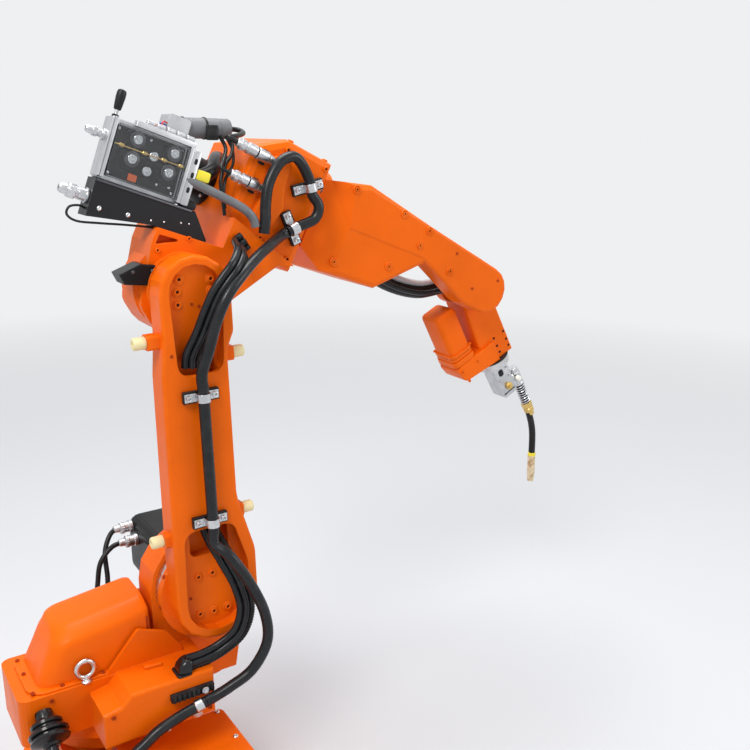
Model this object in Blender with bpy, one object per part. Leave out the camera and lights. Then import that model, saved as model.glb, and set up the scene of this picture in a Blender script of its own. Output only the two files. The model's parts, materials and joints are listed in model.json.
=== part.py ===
"""Six-axis welding robot arm: castings, covers, motors, hoses, wire feeder and torch.

Metres, +Z up. The origin is on the floor, on the axis of the first joint. +X is the way the
arm points in the modelled pose, and the terminal box of the base is on the -Y side.
"""
from math import atan2, cos, pi, radians, sin, tan

import bmesh
import bpy
from mathutils import Vector

# Driving dimensions of the arm
BASE_HEIGHT = 0.200
SHOULDER_OFFSET = 0.150
COLUMN_HEIGHT = 0.250
SHOULDER_HEIGHT = BASE_HEIGHT + COLUMN_HEIGHT
LOWER_ARM_LENGTH = 0.570
LOWER_ARM_LEAN = radians(-1.2)
ELBOW_TILT = radians(26.5)
ELBOW_OFFSET = 0.250
FOREARM_LENGTH = 0.685
WRIST_BEND = radians(36.5)
FLANGE_REACH = 0.222

# Clearances
SEAT = 0.0003
RUNNING_GAP = 0.006
OVERRUN = 0.020

# Round pieces
ROUND_SIDES = 40
SMALL_SIDES = 20
ARC_STEP = radians(22.5)
ROUND_PROFILE = 0.5
HOSE_STEP_SHARE = 3.2

# Base
BOX_HALF_WIDTH = 0.160
FOOT_MARGIN = 0.005
FOOT_HALF = BOX_HALF_WIDTH + FOOT_MARGIN
FOOT_THICKNESS = 0.024
FOOT_CORNER = 0.030
ANCHOR_INSET = 0.030
ANCHOR_HOLE_RADIUS = 0.009
PEDESTAL_HALF = 0.128
PEDESTAL_CORNER = 0.040
PEDESTAL_TOP_HALF = 0.118
PEDESTAL_TOP_CORNER = 0.085
BASE_FLANGE_RADIUS = 0.148
BASE_FLANGE_THICKNESS = 0.028
BOX_NEAR = 0.140
BOX_LENGTH = 0.200
BOX_DROP = 0.032
BOX_TOP = BASE_HEIGHT - BOX_DROP
BOX_CORNER = 0.012
LID_THICKNESS = 0.011
LID_LIP = 0.006
PANEL_SIZE = 0.095
PANEL_THICKNESS = 0.004
SOCKET_WIDTH = 0.052
SOCKET_HEIGHT = 0.078
SOCKET_DEPTH = 0.034
SOCKET_SPACING = 0.100

# Swivel
BEARING_RADIUS = 0.125
SWIVEL_FLANGE_RADIUS = 0.165
SWIVEL_FLANGE_THICKNESS = 0.026
SWIVEL_CONE_RADIUS = 0.140
SWIVEL_CONE_HEIGHT = 0.032
COLUMN_NEAR = 0.105
COLUMN_FAR = 0.100
COLUMN_REAR = 0.075
COLUMN_FRONT = 0.205
COLUMN_DROP = 0.098
COLUMN_TOP = SHOULDER_HEIGHT - COLUMN_DROP
COLUMN_CORNER = 0.030
COLUMN_EDGE = 0.008
SHOULDER_RADIUS = 0.100
SHOULDER_NEAR = 0.120
SHOULDER_FAR = 0.050
TUB_REAR = 0.205
TUB_NEAR = 0.152
TUB_FAR = 0.006
TUB_FRONT = 0.046
TUB_RISE = 0.038
TUB_BOTTOM = BASE_HEIGHT + TUB_RISE
TUB_DROP = 0.120
TUB_TOP = SHOULDER_HEIGHT - TUB_DROP
TUB_CORNER = 0.018
SHELF_REAR = 0.085
SHELF_STEP = 0.052
SHELF_CREASE = 0.034
SHELF_FRONT = 0.120
SHELF_NEAR = 0.236
SHELF_FAR = 0.090
SHELF_RISE = 0.042
SHELF_BOTTOM = BASE_HEIGHT + SHELF_RISE
SHELF_DROP = 0.117
SHELF_TOP = SHOULDER_HEIGHT - SHELF_DROP
SHELF_STEP_DROP = 0.018
SHELF_REAR_DROP = 0.024
SHELF_EDGE = 0.005
GUSSET_NEAR = 0.150
GUSSET_THICKNESS = 0.008
GUSSET_OUTLINE = (
    (-0.207, -0.150, 0.0), (-0.207, -0.124, 0.004), (-0.139, -0.047, 0.006), (-0.084, -0.068, 0.012),
    (-0.057, -0.108, 0.012), (-0.057, -0.150, 0.0),
)
HOOD_HEIGHT = 0.091
HOOD_REAR_INSET = 0.036
HOOD_NEAR_INSET = 0.014
HOOD_FAR_INSET = 0.007
HOOD_REAR_SLOPE = 0.040
HOOD_REAR_CREASE = 0.036
HOOD_FRONT_SLOPE = 0.006
HOOD_CREASE_HEIGHT = 0.076
HOOD_RISE = 0.028
HOOD_BEVEL = 0.100
HOOD_CORNER = 0.026
EYE_PLACE = (-0.087, -0.1455)
EYE_RADIUS = 0.015
EYE_WIRE = 0.004
EYE_WIRE_SIDES = 8
EYE_STEM = 0.010
EYE_STEM_RADIUS = 0.0055
BOOT_X = -0.166
BOOT_HEIGHT_SHARE = 0.64
BOOT_AIM = (0.0, -0.8, -0.6)
BOOT_PROFILE = (
    (0.014, 0.000), (0.016, 0.010), (0.026, 0.015), (0.028, 0.030), (0.036, 0.034), (0.036, 0.048), (0.017, 0.060),
)

# Shoulder drive
JOINT_PLANE = 0.145
REDUCER_RADIUS = 0.092
MOTOR_SIZE = 0.124
MOTOR_CORNER = 0.022
MOTOR_LENGTH = 0.150
MOTOR_PLATE_THICKNESS = 0.014
MOTOR_PLATE_SIZE = 0.140
MOTOR_CAP_RADIUS = 0.045
MOTOR_CAP_LENGTH = 0.024

# Lower arm
ARM_OUTER = 0.203
ARM_INNER = 0.148
ARM_REAR = 0.071
ARM_FRONT = 0.050
ARM_FOOT_RADIUS = 0.080
ARM_FOOT_FLANGE_RADIUS = 0.096
ARM_FOOT_FLANGE_THICKNESS = 0.016
ARM_HEAD_RADIUS = 0.064
ARM_WALL = 0.009
ARM_EDGE = 0.005
ARM_FLARE_HEIGHT = 0.190
FOOT_RECESS_RADIUS = 0.062
FOOT_RECESS_DEPTH = 0.022
HEAD_RECESS_RADIUS = 0.050
HEAD_RECESS_DEPTH = 0.010
POCKET_DEPTH = 0.030
WINDOW_REAR = 0.056
WINDOW_FRONT = 0.038
WINDOW_TOP = 0.145
HOLLOW_HALF_WIDTH = 0.040
POCKET_DROP = 0.140
POCKET_BOTTOM = LOWER_ARM_LENGTH - POCKET_DROP
POCKET_REAR = 0.042
POCKET_FRONT = 0.040
POCKET_CORNER = 0.022
MOUTH_HEIGHT = 0.030
BUMPER_RADIUS = 0.011
BUMPER_LENGTH = 0.022
BUMPER_Y = 0.178
LUG_SIZE = 0.026
LUG_REACH = 0.016
REAR_BUMPER_LOW = 0.132
REAR_BUMPER_DROP = 0.076
REAR_BUMPER_HEIGHTS = (REAR_BUMPER_LOW, LOWER_ARM_LENGTH - REAR_BUMPER_DROP)
FRONT_BUMPER_LOW = 0.156
FRONT_BUMPER_DROP = 0.115
FRONT_BUMPER_HEIGHTS = (FRONT_BUMPER_LOW, LOWER_ARM_LENGTH - FRONT_BUMPER_DROP)
ARM_CLAMP_LOW = 0.163
ARM_CLAMP_DROP = 0.175
ARM_CLAMP_HEIGHTS = (ARM_CLAMP_LOW, LOWER_ARM_LENGTH - ARM_CLAMP_DROP)
ARM_CLAMP_X = -0.008

# Hoses
HOSE_RADIUS = 0.010
HARNESS_HALF_WIDTH = 0.014
HARNESS_HALF_DEPTH = 0.009
TORCH_CABLE_UPPER_RADIUS = 0.0128
CABLE_RADIUS = 0.005
TORCH_CABLE_RADIUS = 0.016
FEEDER_HOSE_RADIUS = 0.008
CLAMP_LENGTH = 0.066
CLAMP_WIDTH = 0.022
CLAMP_BASE = 0.008
CLAMP_STRAP = 0.004
CLAMP_EDGE = 0.002
HOSE_JOIN = 0.014

# Elbow
ELBOW_NEAR = 0.132
ELBOW_FAR = 0.030
HUB_RADIUS = 0.079
HUB_RING_RADIUS = 0.070
HUB_NEAR_RADIUS = 0.063
HUB_RING_STEPS = (0.116, 0.130)
HUB_FAR = 0.055
WEB_NEAR_SHARES = (0.7, 1.2, 0.8, 0.5)
LEDGE_REAR = 0.078
LEDGE_TOP = 0.080
LEDGE_THICKNESS = 0.014
LEDGE_POCKET = ((-0.071, 0.052), (-0.028, 0.0755), (-0.071, 0.070))
LEDGE_POCKET_DEPTH = 0.020
BLOCK_REAR = 0.045
BLOCK_FRONT = 0.204
BLOCK_BOTTOM = 0.105
BLOCK_TOP = 0.325
BLOCK_NEAR = 0.105
BLOCK_FAR = 0.105
BLOCK_EDGE = 0.014
BLOCK_CORNER_SHARES = (1.6, 2.2, 0.8)
PAD_OUTLINE = (
    (0.084, 0.165, 0.004), (0.126, 0.165, 0.004), (0.137, 0.205, 0.004), (0.123, 0.240, 0.004),
    (0.119, 0.284, 0.004), (0.100, 0.295, 0.004), (0.084, 0.285, 0.004),
)
PAD_HEIGHT = 0.010
PAD_EDGE = 0.004
ROLL_RING_RADIUS = 0.076
ROLL_RING_THICKNESS = 0.010
STOP_COVER_OUTLINE = (
    (-0.112, -0.019, 0.0), (-0.085, 0.011, 0.0), (-0.049, 0.023, 0.0), (-0.043, -0.012, 0.0), (-0.097, -0.031, 0.0),
)
STOP_COVER_DEPTH = 0.045
ROLL_MOTOR_SIZE = 0.080
ROLL_MOTOR_LENGTH = 0.130
ROLL_MOTOR_Y = 0.052
ROLL_MOTOR_DROP = 0.044

# Wire feeder
FEEDER_TURN = radians(-6)
FEEDER_REAR = 0.190
FEEDER_LENGTH = 0.143
BRACKET_HEIGHT = 0.046
BRACKET_DROP = 0.018
BRACKET_LIP = 0.030
BRACKET_REACH = 0.064
FEEDER_HEIGHT = 0.105
FEEDER_NEAR = 0.120
FEEDER_DEPTH = 0.046
COVER_THICKNESS = 0.018
BRACKET_THICKNESS = 0.004
FEEDER_MOTOR_RADIUS = 0.018
FEEDER_MOTOR_LENGTH = 0.100
FEEDER_MOTOR_PLACE = (-0.041, 0.277)
FEEDER_MOTOR_TURN = radians(-25)
HOUSING_LENGTH = 0.044
HOUSING_DROP = 0.030
HOUSING_RISE = 0.042
LEVER_LENGTH = 0.046
LEVER_RADIUS = 0.008
INLET_RADIUS = 0.011
INLET_LENGTH = 0.048
INLET_INSET = 0.018
INLET_NECK_SHARES = (0.4, 0.7)
FITTING_RADIUS = 0.011
FITTING_END_SHARE = 0.7
TORCH_FITTING = (0.002, 0.079, 0.2735)
GAS_FITTING = (0.012, 0.079, 0.2195)
CABLE_HEIGHT_SHARE = 0.55
FEEDER_HOSE_SHARE = 0.45

# Forearm
ROOT_LENGTH = 0.190
ROOT_RISE = 0.030
ROOT_BOTTOM = 0.118
ROOT_TOP = 0.080
ROOT_HALF_WIDTH = 0.092
ROOT_EDGE = 0.010
ROOT_WALL = 0.014
ROOT_CHAMFER_DEPTH = 0.022
ROOT_CHAMFER_TOP = 0.040
ROOT_CHAMFER_BOTTOM = 0.075
ROOT_LOW_SHARE = 0.3
ROOT_HIGH_SHARE = 0.5
BEAM_START_SHARE = 0.45
CAVITY_START_SHARE = 1.4
BEAM_NEAR = 0.092
BEAM_THICKNESS = 0.055
BEAM_END_RADIUS = 0.050
BEAM_EDGE = 0.006

# Wrist
WRIST_FAR = 0.046
WRIST_LINK_BACK = 0.040
WRIST_LINK_FRONT = 0.048
WRIST_HUB_RADIUS = 0.046
WRIST_LINK_SHARES = (0.6, 0.8, 0.96)
GEAR_CASE_FRONT_SHARE = 0.9
GEAR_CASE_BACK = 0.120
GEAR_CASE_START = 0.152
GEAR_CASE_CORNER = 0.012
COVER_BACK = 0.116
COVER_FRONT = 0.058
COVER_START = 0.018
COVER_HALF_WIDTH = 0.034
COVER_CORNER = 0.012
WRIST_BORE_RADIUS = 0.022

# Flange and torch
FLANGE_RADIUS = 0.042
FLANGE_THICKNESS = 0.016
MOUNT_SIZE = 0.052
MOUNT_LENGTH = 0.052
NUT_RADIUS = 0.016
NUT_LENGTH = 0.022
NECK_RADIUS = 0.0085
NOZZLE_RADIUS = 0.010
NOZZLE_TIP_RADIUS = 0.008
NOZZLE_LENGTH = 0.070
NOZZLE_TAPER_SHARE = 0.7

# Routes of the hoses, chosen by hand: those of the swivel are measured from the shoulder axis
SWIVEL_CLAMP = (-0.070, -0.2546, -0.170)
SWIVEL_CLAMP_ALONG = (1.0, 0.0, 0.22)
SWIVEL_HOSE_ROUTE = [
    (-0.300, -0.2380, -0.225), (-0.272, -0.2500, -0.237), (-0.226, -0.2570, -0.234), (-0.180, -0.2580, -0.210),
    (-0.145, -0.2560, -0.190),
]
SHOULDER_HOSE_ROUTE = [
    (-0.010, -0.258, -0.152), (0.034, -0.262, -0.129), (0.064, -0.266, -0.080), (0.063, -0.266, -0.024),
    (0.042, -0.261, 0.036), (0.010, -0.245, 0.098),
]
SHOULDER_HARNESS_ROUTE = [
    (-0.076, -0.2160, -0.1022), (-0.042, -0.2165, -0.1018), (-0.005, -0.2195, -0.0905), (0.027, -0.226, -0.065),
    (0.040, -0.230, -0.020), (0.032, -0.2265, 0.030), (0.015, -0.208, 0.078), (0.000, -0.184, 0.120),
    (-0.005, -0.1755, 0.152), (-0.006, -0.1755, 0.172),
]
POWER_CABLE_ROUTE = [
    (-0.165, 0.030, -0.0977), (-0.165, 0.030, -0.084), (-0.154, 0.045, -0.040), (-0.142, 0.055, 0.000),
    (-0.116, 0.062, 0.024), (-0.090, 0.064, 0.028), (-0.0629, 0.064, 0.028),
]
SIGNAL_CABLE_ROUTE = [
    (-0.142, 0.030, -0.0977), (-0.142, 0.030, -0.084), (-0.132, 0.050, -0.035), (-0.126, 0.075, 0.010),
    (-0.108, 0.090, 0.040), (-0.088, 0.094, 0.046), (-0.0629, 0.094, 0.046),
]
# Those of the elbow, in the frame of the elbow
ELBOW_CLAMP_LOWER = (0.166, 0.180)
ELBOW_CLAMP_LOWER_ALONG = (0.65, 0.70)
ELBOW_CLAMP_UPPER = (0.166, 0.262)
ELBOW_CLAMP_UPPER_ALONG = (-0.62, 0.78)
ELBOW_HOSE_ROUTE = [
    (0.048, -0.2260, -0.080), (0.041, -0.2265, -0.030), (0.042, -0.2265, 0.015), (0.057, -0.215, 0.055),
    (0.086, -0.186, 0.098), (0.116, -0.156, 0.130),
]
ELBOW_HARNESS_ROUTE = [
    (0.0462, -0.1895, -0.1203), (0.0382, -0.1920, -0.0986), (0.0272, -0.2040, -0.0648), (0.017, -0.2125, -0.030),
    (0.0145, -0.2150, 0.004), (0.018, -0.2165, 0.036), (0.031, -0.2130, 0.068), (0.048, -0.186, 0.094),
    (0.064, -0.146, 0.107), (0.069, -0.1414, 0.113), (0.074, -0.1414, 0.121),
]
LOOP_HOSE_ROUTE = [(0.196, -0.128, 0.214), (0.193, -0.128, 0.238)]
RETURN_HOSE_ROUTE = [
    (0.132, -0.127, 0.290), (0.108, -0.129, 0.296), (0.086, -0.132, 0.276), (0.078, -0.136, 0.236),
    (0.084, -0.140, 0.200), (0.096, -0.1424, 0.168), (0.103, -0.1424, 0.146),
]
FEEDER_HOSE_ROUTE = [
    (0.0840, -0.1410, 0.1506), (0.073, -0.1406, 0.1622), (0.050, -0.1408, 0.170), (0.012, -0.127, 0.174),
]
TORCH_CABLE_UPPER_ROUTE = [
    (-0.006, -0.080, 0.212), (0.008, -0.044, 0.236), (0.022, -0.008, 0.249), (0.034, 0.000, 0.250),
    (0.044, 0.000, 0.250), (0.060, 0.000, 0.250), (0.120, 0.000, 0.250), (0.200, 0.000, 0.250),
]
# The lower torch cable, from the mouth of the forearm to the wrist: share of the way, side and height
CABLE_START_REACHES = (0.0243, 0.0063)
TORCH_CABLE_LOWER_SHARES = [
    (0.0285, 0.000, -0.001), (0.172, 0.014, -0.024), (0.355, 0.024, -0.056), (0.5495, 0.022, -0.070),
    (0.744, 0.012, -0.058), (0.890, 0.003, -0.022),
]
WRIST_CABLE_END = (0.006, 0.035, 0.050)
TORCH_NECK_ROUTE = [
    (0.0743, 0.0, 0.0), (0.081, 0.0, 0.0), (0.094, 0.0, 0.002), (0.118, 0.0, 0.011), (0.150, 0.0, 0.024),
    (0.190, 0.0, 0.029), (0.230, 0.0, 0.024), (0.268, 0.0, 0.010), (0.300, 0.0, -0.006),
]

FINISHES = {
    "orange paint": ((0.85, 0.17, 0.02), 0.35, 0.0),
    "black motor": ((0.012, 0.012, 0.013), 0.25, 0.1),
    "black rubber": ((0.02, 0.02, 0.022), 0.55, 0.0),
    "black plastic": ((0.02, 0.02, 0.02), 0.4, 0.0),
    "cream rubber": ((0.75, 0.68, 0.42), 0.6, 0.0),
    "grey plate": ((0.35, 0.37, 0.38), 0.4, 0.3),
    "bright steel": ((0.62, 0.62, 0.64), 0.25, 1.0),
    "aluminium": ((0.70, 0.71, 0.72), 0.35, 1.0),
    "dark frame": ((0.05, 0.05, 0.055), 0.45, 0.3),
    "clear cover": ((0.25, 0.26, 0.27), 0.1, 0.0),
    "copper": ((0.72, 0.45, 0.25), 0.35, 1.0),
    "brass": ((0.70, 0.52, 0.22), 0.3, 1.0),
}


def clear_scene():
    """Remove every object of the open scene."""
    for item in list(bpy.data.objects):
        bpy.data.objects.remove(item)


def finish(name):
    """The material of that name, made at its first use."""
    material = bpy.data.materials.get(name)
    if material is None:
        colour, roughness, metallic = FINISHES[name]
        material = bpy.data.materials.new(name)
        material.use_nodes = True
        shader = material.node_tree.nodes["Principled BSDF"]
        shader.inputs["Base Color"].default_value = (*colour, 1.0)
        shader.inputs["Roughness"].default_value = roughness
        shader.inputs["Metallic"].default_value = metallic
    return material


def frame_at(name, location, tilt=0.0, parent=None):
    """An empty that carries what moves together, turned by tilt about Y."""
    empty = bpy.data.objects.new(name, None)
    bpy.context.collection.objects.link(empty)
    empty.parent = parent
    empty.location = location
    empty.rotation_euler = (0.0, tilt, 0.0)
    return empty


def carried(point, source, target):
    """A point given in the source frame, in the target frame."""
    bpy.context.view_layer.update()
    return target.matrix_world.inverted() @ source.matrix_world @ Vector(point)


def place(name, piece, parent, material):
    """Name a solid, give it its material and hang it on its frame."""
    piece.name = name
    piece.data.name = name
    piece.parent = parent
    piece.data.materials.clear()
    piece.data.materials.append(finish(material))
    if piece.type == "MESH":
        piece.data.shade_smooth()
        piece.data.set_sharp_from_angle(angle=radians(30))
    return piece


def spread(point, height, axis):
    """A point of an outline, lifted to a height along the axis."""
    a, b = point
    if axis == "X":
        return Vector((height, a, b))
    if axis == "Y":
        return Vector((a, height, b))
    return Vector((a, b, height))


def rounded(corners):
    """An outline whose corners (a, b, radius) are arcs, each limited by its two walls."""
    outline = []
    count = len(corners)
    for index, (a, b, radius) in enumerate(corners):
        here = Vector((a, b))
        back = Vector(corners[index - 1][:2]) - here
        ahead = Vector(corners[(index + 1) % count][:2]) - here
        if radius <= 0:
            outline.append(here)
            continue
        half = back.angle(ahead) / 2
        reach = min(radius / tan(half), back.length * 0.49, ahead.length * 0.49)
        radius = reach * tan(half)
        centre = here + (back.normalized() + ahead.normalized()).normalized() * radius / sin(half)
        first = here + back.normalized() * reach - centre
        last = here + ahead.normalized() * reach - centre
        sweep = atan2(first.x * last.y - first.y * last.x, first.dot(last))
        start = atan2(first.y, first.x)
        steps = max(1, round(abs(sweep) / ARC_STEP))
        for step in range(steps + 1):
            angle = start + sweep * step / steps
            outline.append(centre + Vector((cos(angle), sin(angle))) * radius)
    return outline


def box_corners(a_low, a_high, b_low, b_high, radius=0.0):
    """The four corners of a rectangle, all with one radius."""
    return [(a_low, b_low, radius), (a_high, b_low, radius), (a_high, b_high, radius), (a_low, b_high, radius)]


def object_from(mesh_data):
    """An unnamed object made from a bmesh."""
    bmesh.ops.recalc_face_normals(mesh_data, faces=mesh_data.faces)
    mesh = bpy.data.meshes.new("solid")
    mesh_data.to_mesh(mesh)
    mesh_data.free()
    piece = bpy.data.objects.new("solid", mesh)
    bpy.context.collection.objects.link(piece)
    return piece


def loft(rings):
    """A closed solid through rings of as many points each."""
    mesh_data = bmesh.new()
    rows = [[mesh_data.verts.new(point) for point in ring] for ring in rings]
    for low, high in zip(rows, rows[1:]):
        for index in range(len(low)):
            mesh_data.faces.new((low[index - 1], low[index], high[index], high[index - 1]))
    mesh_data.faces.new(rows[0])
    mesh_data.faces.new(rows[-1])
    return object_from(mesh_data)


def prism(corners, low, high, axis, edge=0.0):
    """An outline extruded from low to high, with its end edges bevelled by edge."""
    outline = rounded(corners)
    rings = [[spread(point, height, axis) for point in outline] for height in (low, high)]
    piece = loft(rings)
    if edge > 0:
        bevel_ends(piece, low, high, axis, edge)
    return piece


def bevel_ends(piece, low, high, axis, edge):
    """Bevel the edges round the two end faces of a prism."""
    number = "XYZ".index(axis)
    mesh_data = bmesh.new()
    mesh_data.from_mesh(piece.data)
    ends = [
        line for line in mesh_data.edges
        if abs(line.verts[0].co[number] - line.verts[1].co[number]) < SEAT
        and min(abs(line.verts[0].co[number] - low), abs(line.verts[0].co[number] - high)) < SEAT
    ]
    bmesh.ops.bevel(mesh_data, geom=ends, offset=edge, segments=2, profile=ROUND_PROFILE, affect="EDGES")
    mesh_data.to_mesh(piece.data)
    mesh_data.free()


def ring(radius, height, axis, centre, sides):
    """One circle of a turned solid."""
    points = []
    for index in range(sides):
        angle = 2 * pi * index / sides
        point = (centre[0] + radius * cos(angle), centre[1] + radius * sin(angle))
        points.append(spread(point, height, axis))
    return points


def turned(profile, axis, centre=(0.0, 0.0), sides=ROUND_SIDES):
    """A solid turned from (radius, height) pairs about an axis through centre."""
    return loft([ring(radius, height, axis, centre, sides) for radius, height in profile])


def turned_along(start, aim, profile, sides=SMALL_SIDES):
    """A solid turned from (radius, reach) pairs about a slanting line in a plane of constant X or Y."""
    aim = Vector(aim).normalized()
    side = Vector((0.0, 1.0, 0.0)) if abs(aim.y) < SEAT else Vector((1.0, 0.0, 0.0))
    across = aim.cross(side)
    rings = []
    for radius, reach in profile:
        middle = Vector(start) + aim * reach
        rings.append([
            middle + (side * cos(2 * pi * step / sides) + across * sin(2 * pi * step / sides)) * radius
            for step in range(sides)
        ])
    return loft(rings)


def drum(radius, low, high, axis, centre=(0.0, 0.0), sides=ROUND_SIDES):
    """A plain cylinder."""
    return turned([(radius, low), (radius, high)], axis, centre, sides)


def combined(target, tools, operation):
    """The target after a Boolean with each tool; the tools are used up."""
    for tool in tools:
        modifier = target.modifiers.new(operation, "BOOLEAN")
        modifier.operation = operation
        modifier.solver = "EXACT"
        modifier.object = tool
    bpy.context.view_layer.update()
    depsgraph = bpy.context.evaluated_depsgraph_get()
    mesh = bpy.data.meshes.new_from_object(target.evaluated_get(depsgraph))
    target.modifiers.clear()
    target.data = mesh
    for tool in tools:
        bpy.data.objects.remove(tool)
    return target


def joined(target, *tools):
    """The union of solids."""
    return combined(target, tools, "UNION")


def cut(target, *tools):
    """The target less the tools."""
    return combined(target, tools, "DIFFERENCE")


def smooth_route(points, spacing):
    """Points at about one spacing along a smooth curve through the route's own points."""
    route = [Vector(point) for point in points]
    padded = [route[0] * 2 - route[1], *route, route[-1] * 2 - route[-2]]
    result = [route[0]]
    for before, start, end, after in zip(padded, padded[1:], padded[2:], padded[3:]):
        steps = max(1, round((end - start).length / spacing))
        for step in range(1, steps + 1):
            t = step / steps
            bend = 2 * before - 5 * start + 4 * end - after
            curl = 3 * start - before - 3 * end + after
            result.append(start + (end - before) * t / 2 + bend * t * t / 2 + curl * t ** 3 / 2)
    return result


def hose(name, points, radius, parent, material="black rubber"):
    """A round hose along a route, as a curve with a round bevel and filled caps."""
    curve = bpy.data.curves.new(name, "CURVE")
    curve.dimensions = "3D"
    curve.bevel_depth = radius
    curve.bevel_resolution = 2
    curve.use_fill_caps = True
    route = smooth_route(points, radius * HOSE_STEP_SHARE)
    spline = curve.splines.new("POLY")
    spline.points.add(len(route) - 1)
    for point, place_on_route in zip(spline.points, route):
        point.co = (*place_on_route, 1.0)
    piece = bpy.data.objects.new(name, curve)
    bpy.context.collection.objects.link(piece)
    return place(name, piece, parent, material)


def harness(name, points, parent):
    """Two hoses side by side, as one flat oval solid along their route."""
    route = smooth_route(points, HARNESS_HALF_WIDTH * 2)
    rings = []
    for index, middle in enumerate(route):
        along = route[min(index + 1, len(route) - 1)] - route[max(index - 1, 0)]
        along.normalize()
        across = along.cross(Vector((0.0, 1.0, 0.0))).normalized()
        depth = along.cross(across).normalized()
        oval = []
        for side in range(SMALL_SIDES):
            angle = 2 * pi * side / SMALL_SIDES
            oval.append(middle + across * HARNESS_HALF_WIDTH * cos(angle) + depth * HARNESS_HALF_DEPTH * sin(angle))
        rings.append(oval)
    return place(name, loft(rings), parent, "black rubber")


def make_frames():
    """The empties on the joint axes, each carried by the one before."""
    frames = {"base": frame_at("base_frame", (0.0, 0.0, 0.0))}
    frames["swivel"] = frame_at("swivel_axis", (0.0, 0.0, 0.0), 0.0, frames["base"])
    shoulder = (SHOULDER_OFFSET, 0.0, SHOULDER_HEIGHT)
    frames["arm"] = frame_at("shoulder_axis", shoulder, LOWER_ARM_LEAN, frames["swivel"])
    head = (0.0, 0.0, LOWER_ARM_LENGTH)
    frames["elbow"] = frame_at("elbow_axis", head, ELBOW_TILT - LOWER_ARM_LEAN, frames["arm"])
    frames["forearm"] = frame_at("forearm_axis", (0.0, 0.0, ELBOW_OFFSET), 0.0, frames["elbow"])
    frames["wrist"] = frame_at("wrist_axis", (FOREARM_LENGTH, 0.0, 0.0), WRIST_BEND, frames["forearm"])
    frames["flange"] = frame_at("flange_axis", (FLANGE_REACH, 0.0, 0.0), 0.0, frames["wrist"])
    return frames


def build_base(frame):
    """Foot, pedestal and round top of the fixed base, with its terminal box."""
    foot = prism(box_corners(-FOOT_HALF, FOOT_HALF, -FOOT_HALF, FOOT_HALF, FOOT_CORNER), 0.0, FOOT_THICKNESS, "Z")
    low = rounded(box_corners(-PEDESTAL_HALF, PEDESTAL_HALF, -PEDESTAL_HALF, PEDESTAL_HALF, PEDESTAL_CORNER))
    half = PEDESTAL_TOP_HALF
    high = rounded(box_corners(-half, half, -half, half, PEDESTAL_TOP_CORNER))
    pedestal = loft([
        [spread(point, FOOT_THICKNESS / 2, "Z") for point in low],
        [spread(point, BASE_HEIGHT - BASE_FLANGE_THICKNESS / 2, "Z") for point in high],
    ])
    top = drum(BASE_FLANGE_RADIUS, BASE_HEIGHT - BASE_FLANGE_THICKNESS, BASE_HEIGHT, "Z")
    back = prism(
        box_corners(-PEDESTAL_HALF, PEDESTAL_HALF, -BOX_NEAR + SEAT, 0.0, BOX_CORNER),
        FOOT_THICKNESS / 2, BOX_TOP - LID_THICKNESS, "Z",
    )
    half = FOOT_HALF - ANCHOR_INSET
    holes = [
        drum(ANCHOR_HOLE_RADIUS, -OVERRUN, FOOT_THICKNESS + OVERRUN, "Z", (x, y), SMALL_SIDES)
        for x in (-half, half) for y in (-half, half)
    ]
    casting = cut(joined(foot, pedestal, top, back), *holes)
    place("base_casting", casting, frame, "orange paint")

    far = -BOX_NEAR - BOX_LENGTH
    bottom = FOOT_THICKNESS + SEAT
    terminal_box = prism(
        box_corners(-BOX_HALF_WIDTH, BOX_HALF_WIDTH, far, -BOX_NEAR, BOX_CORNER), bottom, BOX_TOP, "Z",
    )
    place("terminal_box", terminal_box, frame, "orange paint")
    lip = BOX_HALF_WIDTH + LID_LIP
    lid = prism(
        box_corners(-lip, lip, far - LID_LIP, -BASE_FLANGE_RADIUS - SEAT, BOX_CORNER),
        BOX_TOP + SEAT, BOX_TOP + LID_THICKNESS, "Z", LID_THICKNESS / 4,
    )
    place("terminal_box_lid", lid, frame, "orange paint")
    middle_y = -BOX_NEAR - BOX_LENGTH / 2
    middle_z = (bottom + BOX_TOP) / 2
    half = PANEL_SIZE / 2
    panel = prism(
        box_corners(middle_y - half, middle_y + half, middle_z - half, middle_z + half),
        -BOX_HALF_WIDTH - PANEL_THICKNESS, -BOX_HALF_WIDTH - SEAT, "X",
    )
    place("side_panel", panel, frame, "grey plate")
    for name, x in (("power_socket", -SOCKET_SPACING / 2), ("signal_socket", SOCKET_SPACING / 2)):
        socket = prism(
            box_corners(
                x - SOCKET_WIDTH / 2, x + SOCKET_WIDTH / 2,
                middle_z - SOCKET_HEIGHT / 2, middle_z + SOCKET_HEIGHT / 2, BOX_CORNER / 2,
            ),
            far - SOCKET_DEPTH, far - SEAT, "Y", BOX_CORNER / 4,
        )
        place(name, socket, frame, "aluminium")


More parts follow.
